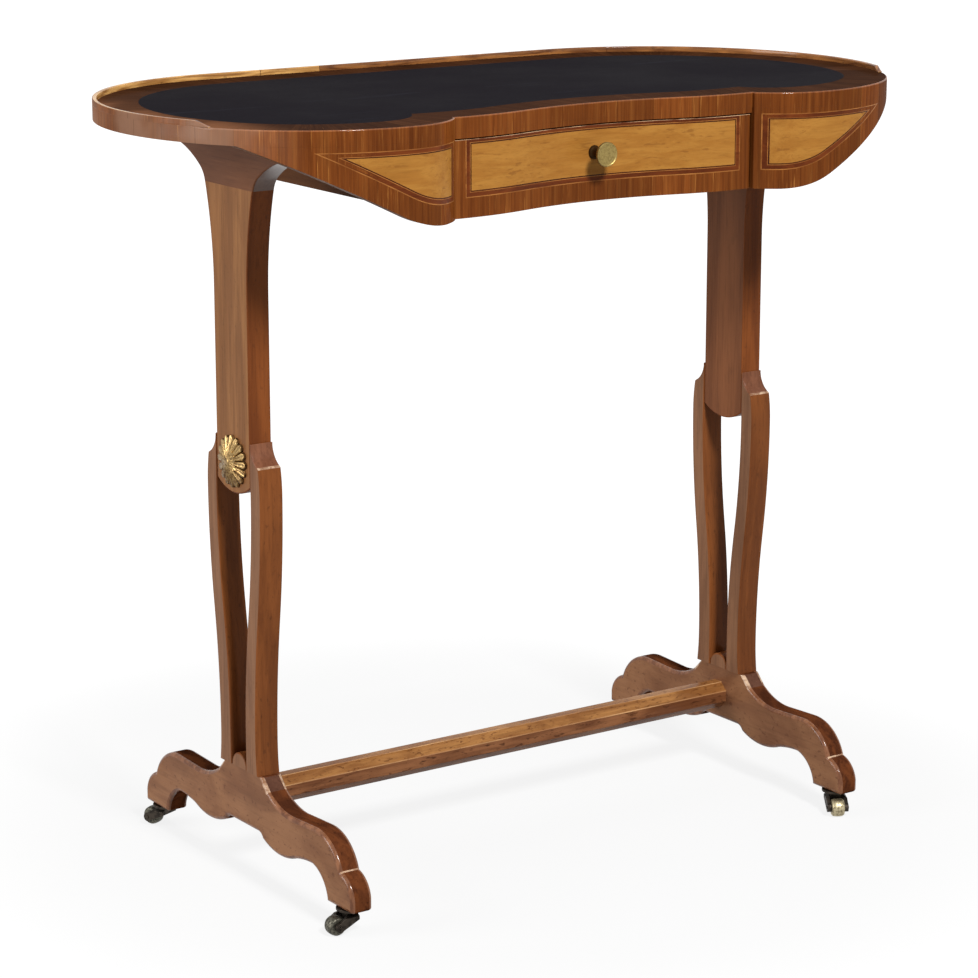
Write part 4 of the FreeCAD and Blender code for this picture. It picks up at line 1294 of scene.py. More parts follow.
def turned(name: str, profile: Sequence[Spot], centre: Vector, axis: Vector,
           materials: Sequence[Material], steps: int, shaded: float = -inf,
           sharp: float = 40.0) -> Object:
    """Piece turned about an axis.

    Args:
        name: Name of the piece.
        profile: Radius and place along the axis of each point, as a closed loop.
        centre: Point on the axis where the place is zero.
        axis: Direction of the axis.
        materials: The finish, and a darker one painted as shade on the foot where there is a second one.
        steps: Faces round the piece.
        shaded: Place along the axis below which the foot begins.
        sharp: Angle, in degrees, above which an edge stays sharp.

    Returns:
        The piece.
    """
    axis = axis.normalized()
    across = axis.orthogonal().normalized()
    other = axis.cross(across)
    loft = Loft(name)
    columns = []
    for step in range(steps + 1):
        turn = tau * step / steps
        outward = across * cos(turn) + other * sin(turn)
        columns.append([centre + outward * radius + axis * along for radius, along in profile])
    slots = [int((a[1] + b[1]) / 2 < shaded) for a, b in zip(profile, profile[1:])]
    loft.sweep(columns, [[(0.0, 0.0)] * len(profile)] * (steps + 1), slots)
    return loft.finish(materials, sharp)


@dataclass
class TableTop:
    """Board with its crossbanded border and edge, the gallery and the writing leather."""

    finishes: Finishes
    top: float = 0.7236
    thickness: float = 0.0142
    leather_depth: float = 0.0012
    arris: float = 0.0011
    hidden_arris: float = 0.00012
    arris_steps: int = 4
    border_steps: int = 6
    rise: float = 0.0052
    rim: float = 0.004
    rim_arris: float = 0.0009
    rim_stop: float = 117.0
    rim_slope: float = 0.014
    rim_joints: tuple[float, ...] = (-0.137, -0.070, 0.273)
    rim_change: float = -0.070
    joint_half: float = 0.0003
    slope_shares: tuple[float, ...] = (0.0, 0.35, 0.7, 1.0)
    least_rise_share: float = 0.06

    @cached_property
    def rim_end(self) -> float:
        """Distance along the edge where the right-hand gallery stops."""
        turned = PLAN.back_straight_half + PLAN.corner_radius * radians(PLAN.corner_turn)
        return turned + PLAN.end_radius * radians(self.rim_stop - PLAN.corner_turn)

    def run_from_back(self, station: Station) -> float:
        """Distance from the middle of the back, either way round."""
        return min(station.run, PLAN.stations[-1].run - station.run)

    def board(self) -> Object:
        """Board: upright edge, rounded arris, border up to the leather and its recess."""
        loft = Loft("top_board_veneered")
        low = self.top - self.thickness
        columns, uvs = [], []
        for station in PLAN.stations:
            under_rim = self.run_from_back(station) < self.rim_end - self.rim_slope / 2
            radius = self.hidden_arris if under_rim else self.arris
            points, spots = [Vector((*station.outer, low))], [(station.run, 0.0)]
            for step in range(self.arris_steps + 1):
                turn = radians(90 * step / self.arris_steps)
                inset, drop = radius * (1 - cos(turn)), radius * (1 - sin(turn))
                points.append(Vector((*station.inset(inset), self.top - drop)))
                spots.append((station.run, self.thickness - drop + inset))
            width = dist(station.outer, station.inner)
            for step in range(1, self.border_steps + 1):
                share = max(step / self.border_steps, 2 * radius / width)
                points.append(Vector((*station.towards_leather(share), self.top)))
                spots.append((station.run, self.thickness + share * width))
            points.append(points[-1] - Vector((0, 0, self.leather_depth)))
            spots.append((station.run, self.thickness + width))
            columns.append(points)
            uvs.append(spots)
        edge_rows = 1 + self.arris_steps
        border_rows = len(columns[0]) - 1 - edge_rows
        made = loft.sweep(columns, uvs, [0] + [3] * self.arris_steps + [2] * border_rows)
        loft.cap([column[0] for column in made[:-1]], 1)
        loft.cap([column[-1] for column in made[:-1]], 1)
        return loft.finish([self.finishes[name] for name in
                            ("crossbanding", "carcase_wood", "border_banding", "arris_banding")])

    def rim_columns(self) -> list[Station]:
        """Stations under the gallery from its left end round the back to its right end."""
        stop = self.rim_end - self.rim_slope
        right = [s for s in PLAN.right_half if s.run < stop - 1e-4]
        joints = [abs(joint) + side * self.joint_half for joint in self.rim_joints for side in (-1, 1)]
        for run in joints + [stop + self.rim_slope * share for share in self.slope_shares]:
            before = max((s for s in PLAN.right_half if s.run <= run), key=lambda s: s.run)
            after = min((s for s in PLAN.right_half if s.run > run), key=lambda s: s.run)
            part = (run - before.run) / (after.run - before.run)
            mix = [between(p, q, part) for p, q in
                   ((before.outer, after.outer), (before.inner, after.inner), (before.normal, after.normal))]
            right.append(Station(*mix, run))
        right.sort(key=lambda s: s.run)
        return [s.mirrored(0.0) for s in reversed(right[1:])] + right

    def rim_profile(self, run: float) -> list[Spot]:
        """Section of the gallery, lower on the slopes at its ends.

        Args:
            run: Distance from the middle of the back.

        Returns:
            Inset and height of each point, from outside to inside.
        """
        steps, left = self.arris_steps, (self.rim_end - abs(run)) / self.rim_slope
        rise = self.rise * max(self.least_rise_share, min(1.0, left))
        radius = min(self.rim_arris, rise / 2)
        profile = [(0.0, 0.0)]
        for start, middle in ((0, radius), (90, self.rim - radius)):
            for step in range(steps + 1):
                turn = radians(start + 90 * step / steps)
                height = rise - radius + radius * sin(turn)
                profile.append((middle - radius * cos(turn), height))
        return profile + [(self.rim, 0.0)]

    def rim_slot(self, run: float) -> int:
        """Slot of the gallery's inner wood.

        Args:
            run: Distance from the middle of the back.

        Returns:
            3 at a joint, 1 in the honey-coloured part and 2 in the red part.
        """
        if any(abs(run - joint) < self.joint_half for joint in self.rim_joints):
            return 3
        return 1 if self.rim_slope - self.rim_end < run < self.rim_change else 2

    def gallery(self) -> Object:
        """Low rim, crossbanded outside and plain inside, sloped down at its ends."""
        loft = Loft("gallery_bent")
        columns, uvs, runs, steps = [], [], [], self.arris_steps
        for station in self.rim_columns():
            points, spots, along = [], [], 0.0
            profile = self.rim_profile(station.run)
            for index, (inset, height) in enumerate(profile):
                along += dist(profile[index - 1], (inset, height)) if index else 0.0
                points.append(Vector((*station.inset(inset), self.top + height)))
                outside = index <= steps
                spots.append((station.run, self.thickness + along) if outside else (along, station.run))
            columns.append(points)
            uvs.append(spots)
            runs.append(station.run)
        made = [loft.column(points) for points in columns]
        for left, right, uv_left, uv_right, middle in zip(
                made, made[1:], uvs, uvs[1:], [(a + b) / 2 for a, b in zip(runs, runs[1:])]):
            loft.quad((left[-1], right[-1], right[0], left[0]), [(0.0, 0.0)] * 4, 2)
            slots = [0] * steps + [self.rim_slot(middle)] * (len(columns[0]) - 1 - steps)
            for row, slot in enumerate(slots):
                corners = (left[row], right[row], right[row + 1], left[row + 1])
                spots = [uv_left[row], uv_right[row], uv_right[row + 1], uv_left[row + 1]]
                if row == steps:
                    shift = self.rim / 2
                    spots[0] = (uv_left[row + 1][0] - shift, uv_left[row + 1][1])
                    spots[1] = (uv_right[row + 1][0] - shift, uv_right[row + 1][1])
                loft.quad(corners, spots, slot)
        for column in (made[0], made[-1]):
            loft.cap(column, 1)
        return loft.finish([self.finishes[name] for name in
                            ("crossbanding", "gallery_honey", "gallery_red", "dark_string")])

    def build(self) -> None:
        """Makes the board and the gallery and paints the leather."""
        settle(self.board(), "table", Slot.CROSSBAND, "top_board")
        settle(self.gallery(), "table", Slot.GALLERY, "gallery")
        paint("writing_leather", self.finishes["black_leather"])


@dataclass
class Frieze:
    """Aprons of the lobes, the drawer front, the rail above it and their inlaid lines."""

    finishes: Finishes
    board_low: float = 0.7094
    apron_low: float = 0.6339
    apron_flat: float = 0.018
    curve_radius: float = 0.120
    curve_turn: float = 26.6
    curve_steps: int = 8
    field_border: float = 0.024
    field_side_border: float = 0.011
    field_top_border: float = 0.0106
    drawer_half: float = 0.1655
    drawer_side_border: float = 0.018
    drawer_top_border: float = 0.0045
    drawer_high: float = 0.7033
    reveal: float = 0.0013
    skin: float = 0.00006
    let_in: float = 0.00001
    line_depth: float = 0.0003
    top_squeeze: float = 0.87
    arris: float = 0.0006
    string_step: float = 0.003
    bead: float = 0.0006
    bead_gap: float = 0.0004
    bead_steps: int = 96

    LINES = (
        ("dark_string", 0.0, 0.0011),
        ("inner_string", 0.0011, 0.0017),
        ("red_band", 0.0017, 0.0053),
        ("light_string", 0.0053, 0.0062),
    )
    LIGHT_LINES = ("inner_string", "light_string")

    @cached_property
    def levels(self) -> tuple[float, ...]:
        """Insets of a line's four edges, sunk at both sides and nearly flush between."""
        return self.line_depth, self.let_in, self.let_in, self.line_depth

    def lobe_outline(self, grow: float) -> list[Spot]:
        """Front view of a lobe's field.

        Args:
            grow: How far it is let out.

        Returns:
            The points in order.
        """
        border = self.field_border - grow
        top = self.board_low - self.field_top_border + grow * self.top_squeeze
        start, radius = PLAN.notch_half + self.field_side_border - grow, self.curve_radius - border
        bend = PLAN.notch_half + self.apron_flat
        low, turn = self.apron_low + border, radians(self.curve_turn)
        points = [(start, low), (bend, low)]
        for step in range(1, self.curve_steps + 1):
            angle = turn * step / self.curve_steps
            points.append((bend + radius * sin(angle), low + radius * (1 - cos(angle))))
        tip = points[-1][0] + (top - points[-1][1]) / tan(turn)
        points.append((tip, top))
        points.append((start, top))
        return points

    def drawer_outline(self, grow: float) -> list[Spot]:
        """Front view of the drawer's field.

        Args:
            grow: How far it is let out.

        Returns:
            The points in order.
        """
        half = self.drawer_half - self.drawer_side_border + grow
        low = self.apron_low + self.field_border - grow
        high = min(self.drawer_high - self.drawer_top_border + grow, self.drawer_high - self.bead)
        return [(-half, low), (half, low), (half, high), (-half, high)]

    def line(self, name: str, outline: Callable[[float], list[Spot]], near: float, far: float,
             depth: Callable[[float, float], float], inset: float, material: Material,
             mirror: bool = False) -> Object:
        """Inlaid line round a field, let into the curved face.

        Args:
            name: Name of the piece.
            outline: Front view of the field let out by a distance.
            near: Distance of the line's inner edge from the field.
            far: Distance of its outer edge.
            depth: Y of the face at an x and an inset.
            inset: Inset of the face.
            material: The finish.
            mirror: Whether the piece stands on the left.

        Returns:
            The piece.
        """
        loft = Loft(name)
        inner, outer = outline(near), outline(far)
        columns, uvs, run = [], [], 0.0
        side = -1 if mirror else 1
        count = len(inner)
        for index in range(count):
            here, after = [(inner[k % count], outer[k % count]) for k in (index, index + 1)]
            length = dist(here[0], after[0])
            steps = max(1, ceil(length / self.string_step))
            for step in range(steps + (index == count - 1)):
                share = step / steps
                pair = [between(p, q, share) for p, q in zip(here, after)]
                points = []
                for (x, z), level in zip((pair[0], *pair, pair[1]), self.levels):
                    points.append(Vector((side * x, depth(x, inset + level), z)))
                columns.append(points)
                uvs.append([(run + length * share, v) for v in (0.0, 0.0, far - near, far - near)])
            run += length
        loft.sweep(columns, uvs, [0, 0, 0])
        return loft.finish((material,))

    def banded(self, node: str, name: str) -> Object:
        """Copy of a front piece with the crossbanding run along the outline of the top.

        Args:
            node: The solid.
            name: Name of the copy.

        Returns:
            The copy, banded in front and plain elsewhere, with the rail's underside painted dark as shadow.
        """
        finishes = [self.finishes[finish] for finish in ("crossbanding", "carcase_wood", "gap_shade")]
        piece = softened(node, name, self.arris, finishes, self.board_low)
        mesh = piece.data
        for vertex in mesh.vertices:
            vertex.co -= vertex.normal * self.skin
        layer = mesh.uv_layers.get(UV_NAME) or mesh.uv_layers.new(name=UV_NAME)
        for polygon in mesh.polygons:
            faces_front = polygon.normal.y < -0.25 or abs(polygon.normal.x) > 0.6
            polygon.material_index = 0 if faces_front and abs(polygon.normal.z) < 0.9 else 1
            # The rail's underside takes gap_shade: painted shadow in the gap above the drawer.
            if node == "front_rail" and polygon.normal.z < -0.2:
                polygon.material_index = 2
            for loop in polygon.loop_indices:
                point = mesh.vertices[mesh.loops[loop].vertex_index].co
                layer.data[loop].uv = (PLAN.run_at(point.x, point.y), point.z - self.board_low)
        return piece

    def line_finish(self, line: str) -> Material:
        """Finish of an inlaid line."""
        return self.finishes["light_string" if line in self.LIGHT_LINES else line]

    def bead_strip(self) -> Object:
        """Light bead along the drawer's top edge, paler in patches as painted glints."""
        loft = Loft("drawer_bead")
        columns, uvs, half = [], [], self.drawer_half - self.bead_gap
        for step in range(self.bead_steps + 1):
            x = -half + 2 * half * step / self.bead_steps
            points = []
            for back, height in ((2 * self.skin, -self.bead), (-2 * self.skin, -self.bead),
                                 (-4 * self.skin, -self.bead / 2), (-self.skin, -2 * self.skin),
                                 (self.bead, 0.0)):
                points.append(Vector((x, PLAN.front_depth(x, self.reveal + back), self.drawer_high + height)))
            columns.append(points)
            uvs.append([(x, v * 0.001) for v in range(5)])
        loft.sweep(columns, uvs, [0] * 4)
        return loft.finish((self.finishes["bead_string"],))

    def build(self) -> None:
        """Makes the veneered faces and the inlaid lines."""
        for side in SIDES:
            settle(self.banded("apron_" + side, "apron_%s_veneered" % side), "table", Slot.CROSSBAND,
                   "apron_" + side)
            paint("apron_field_" + side, self.finishes["satinwood"])
            for finish, near, far in self.LINES:
                line = self.line("apron_%s_%s" % (finish, side), self.lobe_outline, near, far,
                                 PLAN.lobe_depth, 0.0, self.line_finish(finish), side == "left")
                settle(line, "table", Slot.SATINWOOD if finish in self.LIGHT_LINES else Slot.CROSSBAND)
        settle(self.banded("front_rail", "front_rail_veneered"), "table", Slot.CROSSBAND, "front_rail")
        settle(self.banded("drawer_front", "drawer_front_veneered"), "drawer", Slot.CROSSBAND, "drawer_front")
        paint("drawer_field", self.finishes["satinwood"])
        for finish, near, far in self.LINES:
            line = self.line("drawer_" + finish, self.drawer_outline, near, far, PLAN.front_depth,
                             self.reveal, self.line_finish(finish))
            settle(line, "drawer", Slot.SATINWOOD if finish in self.LIGHT_LINES else Slot.CROSSBAND)
        settle(self.bead_strip(), "drawer", Slot.SATINWOOD)


@dataclass
class Carcase:
    """Case of the drawer and the drawer's own box, in plain waxed wood."""

    finishes: Finishes
    arris: float = 0.0005

    def build(self) -> None:
        """Dresses the hidden woodwork."""
        wood = self.finishes["carcase_wood"]
        for node in ("back_rail", "drawer_stops", "runner_left", "runner_right", "kicker_left",
                     "kicker_right", "drawer_bottom"):
            paint(node, wood)
        for node, body in (("case_side_left", "table"), ("drawer_side_left", "drawer"),
                           ("case_side_right", "table"), ("drawer_side_right", "drawer"),
                           ("drawer_back", "drawer")):
            settle(softened(node, node + "_waxed", self.arris, (wood,)), body, Slot.CARCASE, node)


class PetalRing:
    """Geometry node tree that sets copies of one petal round a circle."""

    def __init__(self) -> None:
        """Builds the tree with its named inputs."""
        self.tree = bpy.data.node_groups.new("petal_ring", "GeometryNodeTree")
        face = self.tree.interface
        self.inputs = {}
        for name, kind in (("Petal", "NodeSocketGeometry"), ("Count", "NodeSocketInt"),
                           ("Ring radius", "NodeSocketFloat"), ("First turn", "NodeSocketFloat"),
                           ("Finish", "NodeSocketMaterial")):
            self.inputs[name] = face.new_socket(name, in_out="INPUT", socket_type=kind).identifier
        face.new_socket("Ring", in_out="OUTPUT", socket_type="NodeSocketGeometry")
        nodes = {key: self.tree.nodes.new(kind) for key, kind in (
            ("in", "NodeGroupInput"), ("out", "NodeGroupOutput"), ("circle", "GeometryNodeMeshCircle"),
            ("index", "GeometryNodeInputIndex"), ("step", "ShaderNodeMath"), ("angle", "ShaderNodeMath"),
            ("turn", "ShaderNodeCombineXYZ"), ("set", "GeometryNodeInstanceOnPoints"),
            ("shift", "GeometryNodeTransform"), ("shift_turn", "ShaderNodeCombineXYZ"),
            ("real", "GeometryNodeRealizeInstances"), ("finish", "GeometryNodeSetMaterial"),
            ("rotation", "FunctionNodeEulerToRotation"))}
        nodes["step"].operation = "DIVIDE"
        nodes["step"].inputs[0].default_value = tau
        nodes["angle"].operation = "MULTIPLY"
        for one, output, other, entry in (
                ("in", "Count", "circle", "Vertices"), ("in", "Ring radius", "circle", "Radius"),
                ("in", "Count", "step", 1), ("step", 0, "angle", 0), ("index", 0, "angle", 1),
                ("angle", 0, "turn", "Z"), ("turn", 0, "rotation", 0), ("circle", "Mesh", "set", "Points"),
                ("in", "Petal", "set", "Instance"), ("rotation", 0, "set", "Rotation"),
                ("set", "Instances", "real", 0), ("real", 0, "shift", "Geometry"),
                ("in", "First turn", "shift_turn", "Z"), ("shift_turn", 0, "shift", "Rotation"),
                ("shift", 0, "finish", "Geometry"), ("in", "Finish", "finish", "Material"),
                ("finish", 0, "out", 0)):
            self.tree.links.new(nodes[one].outputs[output], nodes[other].inputs[entry])

    def ring(self, petal: Mesh, count: int, radius: float, turn: float,
             finish: Material) -> Mesh:
        """Plain mesh of one ring of petals.

        Args:
            petal: The petal, pointing along +X from its place on the circle.
            count: How many petals the ring has.
            radius: Radius of the circle.
            turn: Angle of the first petal, in radians.
            finish: The material.

        Returns:
            The mesh.
        """
        holder = linked("petals", petal)
        modifier = holder.modifiers.new("ring", "NODES")
        modifier.node_group = self.tree
        for name, value in (("Count", count), ("Ring radius", radius), ("First turn", turn),
                            ("Finish", finish)):
            modifier[self.inputs[name]] = value
        mesh = baked(holder)
        bpy.data.objects.remove(holder)
        return mesh


@dataclass(frozen=True)
class Petal:
    """Pointed leaf with a rounded back, a groove down its middle and a turned-down tip.

    Attributes:
        reach: Length.
        root: Height of its root.
        width: Greatest width.
        tip: Height of its tip.
        crown: How far it bulges up.
    """

    reach: float
    root: float
    width: float
    tip: float
    crown: float
    rows: int = 9
    across: int = 9
    tip_share: float = 0.20
    tip_power: float = 2.4
    tip_least_share: float = 0.16
    root_width_share: float = 0.24
    groove_depth: float = 0.50
    groove_width: float = 0.30
    groove_rise: float = 2.2
    root_crown_share: float = 0.55
    crown_run: float = 1.1
    fall_power: float = 1.3
    thinnest: float = 0.0002

    def spot(self, along: float, side: float) -> Spot:
        """Place on the petal.

        Args:
            along: Share of the length.
            side: Place across, from -1 to 1.

        Returns:
            The y and the height.
        """
        taper = 1 - max(0.0, (along - 1 + self.tip_share) / self.tip_share) ** self.tip_power
        half = self.width / 2 * (self.root_width_share + (1 - self.root_width_share) * along)
        half *= max(self.tip_least_share, taper) ** 0.5
        ridge = sqrt(max(0.0, 1 - side * side))
        groove = self.groove_depth * exp(-(side / self.groove_width) ** 2)
        groove *= min(1.0, self.groove_rise * along)
        arch = sin(pi * min(1.0, along * self.crown_run))
        swell = self.crown * (self.root_crown_share + (1 - self.root_crown_share) * arch)
        height = self.root + (self.tip - self.root) * along ** self.fall_power
        return half * side, max(self.thinnest, height + swell * (ridge - groove) - swell)

    def build(self) -> Mesh:
        """Closed mesh of the petal, from its root along +X."""
        bm = bmesh.new()
        last = self.across - 1
        grid = []
        for row in range(self.rows + 1):
            along = row / self.rows
            grid.append([bm.verts.new((self.reach * along, *self.spot(along, -1 + 2 * column / last)))
                         for column in range(self.across)])
        for low, high in zip(grid, grid[1:]):
            for k in range(last):
                bm.faces.new((low[k], high[k], high[k + 1], low[k + 1]))
        border = grid[0] + [line[-1] for line in grid[1:]]
        border += grid[-1][-2::-1] + [line[0] for line in grid[-2:0:-1]]
        floor = [bm.verts.new((v.co.x, v.co.y, 0.0)) for v in border]
        for index, vert in enumerate(border):
            after = (index + 1) % len(border)
            bm.faces.new((vert, border[after], floor[after], floor[index]))
        bm.faces.new(floor)
        bmesh.ops.recalc_face_normals(bm, faces=bm.faces)
        return meshed("petal", bm)


@dataclass
class Rosette:
    """Gilt rosette of two rings of petals round a boss, on the outer face of a shaft."""

    finishes: Finishes
    rings: PetalRing
    face_x: float
    centre_y: float = -0.0074
    height: float = 0.402
    radius: float = 0.0243
    rise: float = 0.0074
    ring_radius: float = 0.0035
    petal_count: int = 16
    boss_steps: int = 24
    shade_share: float = 0.52
    shade_height: float = 0.0024
    sharp: float = 38.0

    INNER = Petal(0.0085, 0.0073, 0.0042, 0.0058, 0.0016)
    BOSS = ((0.0051, 0.0026), (0.0044, 0.0012), (0.0036, 0.0010), (0.0031, 0.0004), (0.0019, 0.0))

    def boss(self) -> Mesh:
        """Round boss in the middle, from its radii and their drops below the top."""
        bm = bmesh.new()
        count, rings = self.boss_steps, []
        for radius, height in [(self.BOSS[0][0], 0.0)] + [(r, self.rise - drop) for r, drop in self.BOSS]:
            turns = [tau * k / count for k in range(count)]
            rings.append([bm.verts.new((radius * cos(turn), radius * sin(turn), height))
                          for turn in turns])
        for low, high in zip(rings, rings[1:]):
            for k in range(count):
                after = (k + 1) % count
                bm.faces.new((low[k], low[after], high[after], high[k]))
        bm.faces.new(rings[-1])
        bm.faces.new(list(reversed(rings[0])))
        return meshed("boss", bm)

    def build(self, side: str) -> None:
        """Joins the rings and the boss, and sets them on the shaft.

        Args:
            side: Side of the table.
        """
        gilt = self.finishes["gilt_brass"]
        sign = 1 if side == "right" else -1
        outer = Petal(self.radius - self.ring_radius, 0.0070, 0.0086, 0.0026, 0.0024)
        parts = [self.rings.ring(petal.build(), self.petal_count, self.ring_radius, turn, gilt)
                 for petal, turn in ((outer, 0.0), (self.INNER, pi / self.petal_count))]
        bm = bmesh.new()
        for part in parts + [self.boss()]:
            bm.from_mesh(part)
        for vert in bm.verts:
            up, across, out = vert.co
            vert.co = Vector((sign * (self.face_x + out), self.centre_y + across * sign, self.height + up))
        bmesh.ops.reverse_faces(bm, faces=bm.faces)
        name = "rosette_%s_gilt" % side
        piece = dress(name, meshed(name, bm), (gilt, self.finishes["gilt_shade"]), self.sharp)
        # Low faces that turn sideways take gilt_shade: painted shade in the gaps between the petals.
        for polygon in piece.data.polygons:
            low = abs(polygon.center.x) - self.face_x < self.shade_height
            polygon.material_index = int(abs(polygon.normal.x) < self.shade_share and low)
        settle(piece, "table", Slot.GILT, "rosette_" + side)


@dataclass
class Trestles:
    """The two trestles: bearers, shafts, split branches, feet and the stretcher between them."""

    finishes: Finishes
    half_spacing: float = 0.28504
    shaft_thickness: float = 0.0228
    arris: float = 0.0013
    foot_half: float = 0.011
    foot_arris: float = 0.0034
    foot_corner: float = 0.0030
    toe_margin: float = 0.0009
    stretcher_arris: float = 0.0014
    reach: float = 0.00002
    flush: tuple[float, ...] = (0.654, 0.1085)
    facet_low: float = 0.098
    facet_slack: float = 0.05
    least_rise: float = 0.1
    axis_y: float = -0.0074
    shoulder_low: float = 0.4026
    shoulder_out: float = 0.031
    shoulder_edge: float = 0.0436

    # Finish of the edge, the arrises, the left side's outer and inner flank, and two more for some faces.
    BRANCH = ("branch_wood", "branch_wood", "branch_flank", "branch_flank", "branch_shoulder", "facet_edge")
    # The flank finishes of shafts, branches and feet are paler copies of their edge's wood: painted sheen.
    PIECES = {
        "bearer": ("bearer_cove", "bearer_wood", "bearer_wood", "bearer_wood"),
        "shaft": ("shaft_wood", "shaft_wood", "shaft_outside", "shaft_inside"),
        "branch_back": BRANCH,
        "branch_front": BRANCH,
        "spandrel": BRANCH[:4],
        "foot": ("foot_wood", "worn_arris", "foot_flank", "foot_flank", "foot_facet", "facet_edge"),
    }

    def build(self) -> None:
        """Dresses the woodwork and sets the rosettes."""
        rings = PetalRing()
        for side in SIDES:
            for stem in self.PIECES:
                self.dressed(stem, side)
            Rosette(self.finishes, rings, self.half_spacing + self.shaft_thickness / 2).build(side)
        self.stretcher()

    def dressed(self, stem: str, side: str) -> None:
        """Makes one piece of a trestle from the side view of its solid.

        Args:
            stem: Kind of piece.
            side: Side of the table.
        """
        node = "%s_%s" % (stem, side)
        names = list(self.PIECES[stem])
        # On the right trestle the inner flank faces lower x, so the flank finishes swap; shaft_inside, darker
        # as painted shade, keeps to the inner flank.
        if side == "right":
            names[2:4] = names[3:1:-1]
        is_foot = stem == "foot"
        width = self.foot_arris if is_foot else self.arris
        outline, low, high = flank_outline(node, side)
        creases = [here for before, here, after in neighbours(outline) if self.is_crease(before, here, after)]
        corner, margin = (self.foot_corner, self.toe_margin) if is_foot else (width, 0.0)
        piece = sawn(node + "_polished", eased(outline, corner, self.flush, margin), (low, high), width,
                     [self.finishes[name] for name in names], self.flush)
        if is_foot:
            self.set_facets(piece.data, creases)
        elif stem.startswith("branch"):
            self.set_shoulder(piece.data)
        settle(piece, "table", Slot.TRESTLE, node)

    @staticmethod
    def is_crease(before: Spot, here: Spot, after: Spot) -> bool:
        """Whether an outline turns sharply inwards at a point."""
        near, far = Vector(here) - Vector(before), Vector(after) - Vector(here)
        return near.x * far.y - near.y * far.x < -CREASE_SINE * near.length * far.length

    def set_facets(self, mesh: Mesh, creases: Sequence[Spot]) -> None:
        """Gives a foot's seat facets a greyer finish, painted sheen, and their arrises and the toes' creases
        a paler one, painted highlight and partly wear.

        Args:
            mesh: The foot.
            creases: Inward corners of its side view.
        """
        for polygon in mesh.polygons:
            sloped = abs(abs(polygon.normal.y) - polygon.normal.z) < self.facet_slack
            if sloped and polygon.center.z > self.facet_low and polygon.material_index < 2:
                polygon.material_index += 4
            near = any(dist(polygon.center.yz, spot) < self.toe_margin for spot in creases)
            if near and polygon.normal.z > self.least_rise and polygon.material_index < 2:
                polygon.material_index = 5

    def set_shoulder(self, mesh: Mesh) -> None:
        """Gives the hollowed shoulder of a branch a duller finish and its lower arris a paler one, painted
        highlight and partly wear.

        Args:
            mesh: The branch.
        """
        for polygon in mesh.polygons:
            out, height = abs(polygon.center.y - self.axis_y), polygon.center.z - self.shoulder_low
            if polygon.material_index < 2 and out > self.shoulder_out:
                if abs(height) < self.arris and out > self.shoulder_edge:
                    polygon.material_index = 5
                elif height > 0:
                    polygon.material_index = 4

    def stretcher(self) -> None:
        """Eight-sided rail with softened arrises between the feet."""
        low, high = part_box("stretcher")
        middle = Vector(((low[1] + high[1]) / 2, (low[2] + high[2]) / 2))
        half = (high[1] - low[1]) / 2
        corner = half * tan(pi / 8)
        outline = [(half, -corner), (half, corner), (corner, half), (-corner, half),
                   (-half, corner), (-half, -corner), (-corner, -half), (corner, -half)]
        outline = [tuple(middle + Vector(point)) for point in outline]
        end = self.half_spacing - self.foot_half + self.reach
        finishes = [self.finishes["stretcher_" + part] for part in ("low",) * 4 + ("wood", "edge")]
        piece = sawn("stretcher_polished", eased(outline, self.stretcher_arris), (-end, end), self.reach,
                     finishes, steps=1)
        # Upward facets take the golden finish and the rest the darker one: painted light and shade. The
        # roundings on the upper side take the paler one: painted highlight, partly wear.
        for polygon in piece.data.polygons:
            lean = degrees(atan2(polygon.normal.z, abs(polygon.normal.y)))
            if abs(polygon.normal.x) < 0.5 and lean > 5.0:
                polygon.material_index = 4 if min(abs(lean - 45.0), abs(lean - 90.0)) < 2.0 else 5
        settle(piece, "table", Slot.TRESTLE, "stretcher")


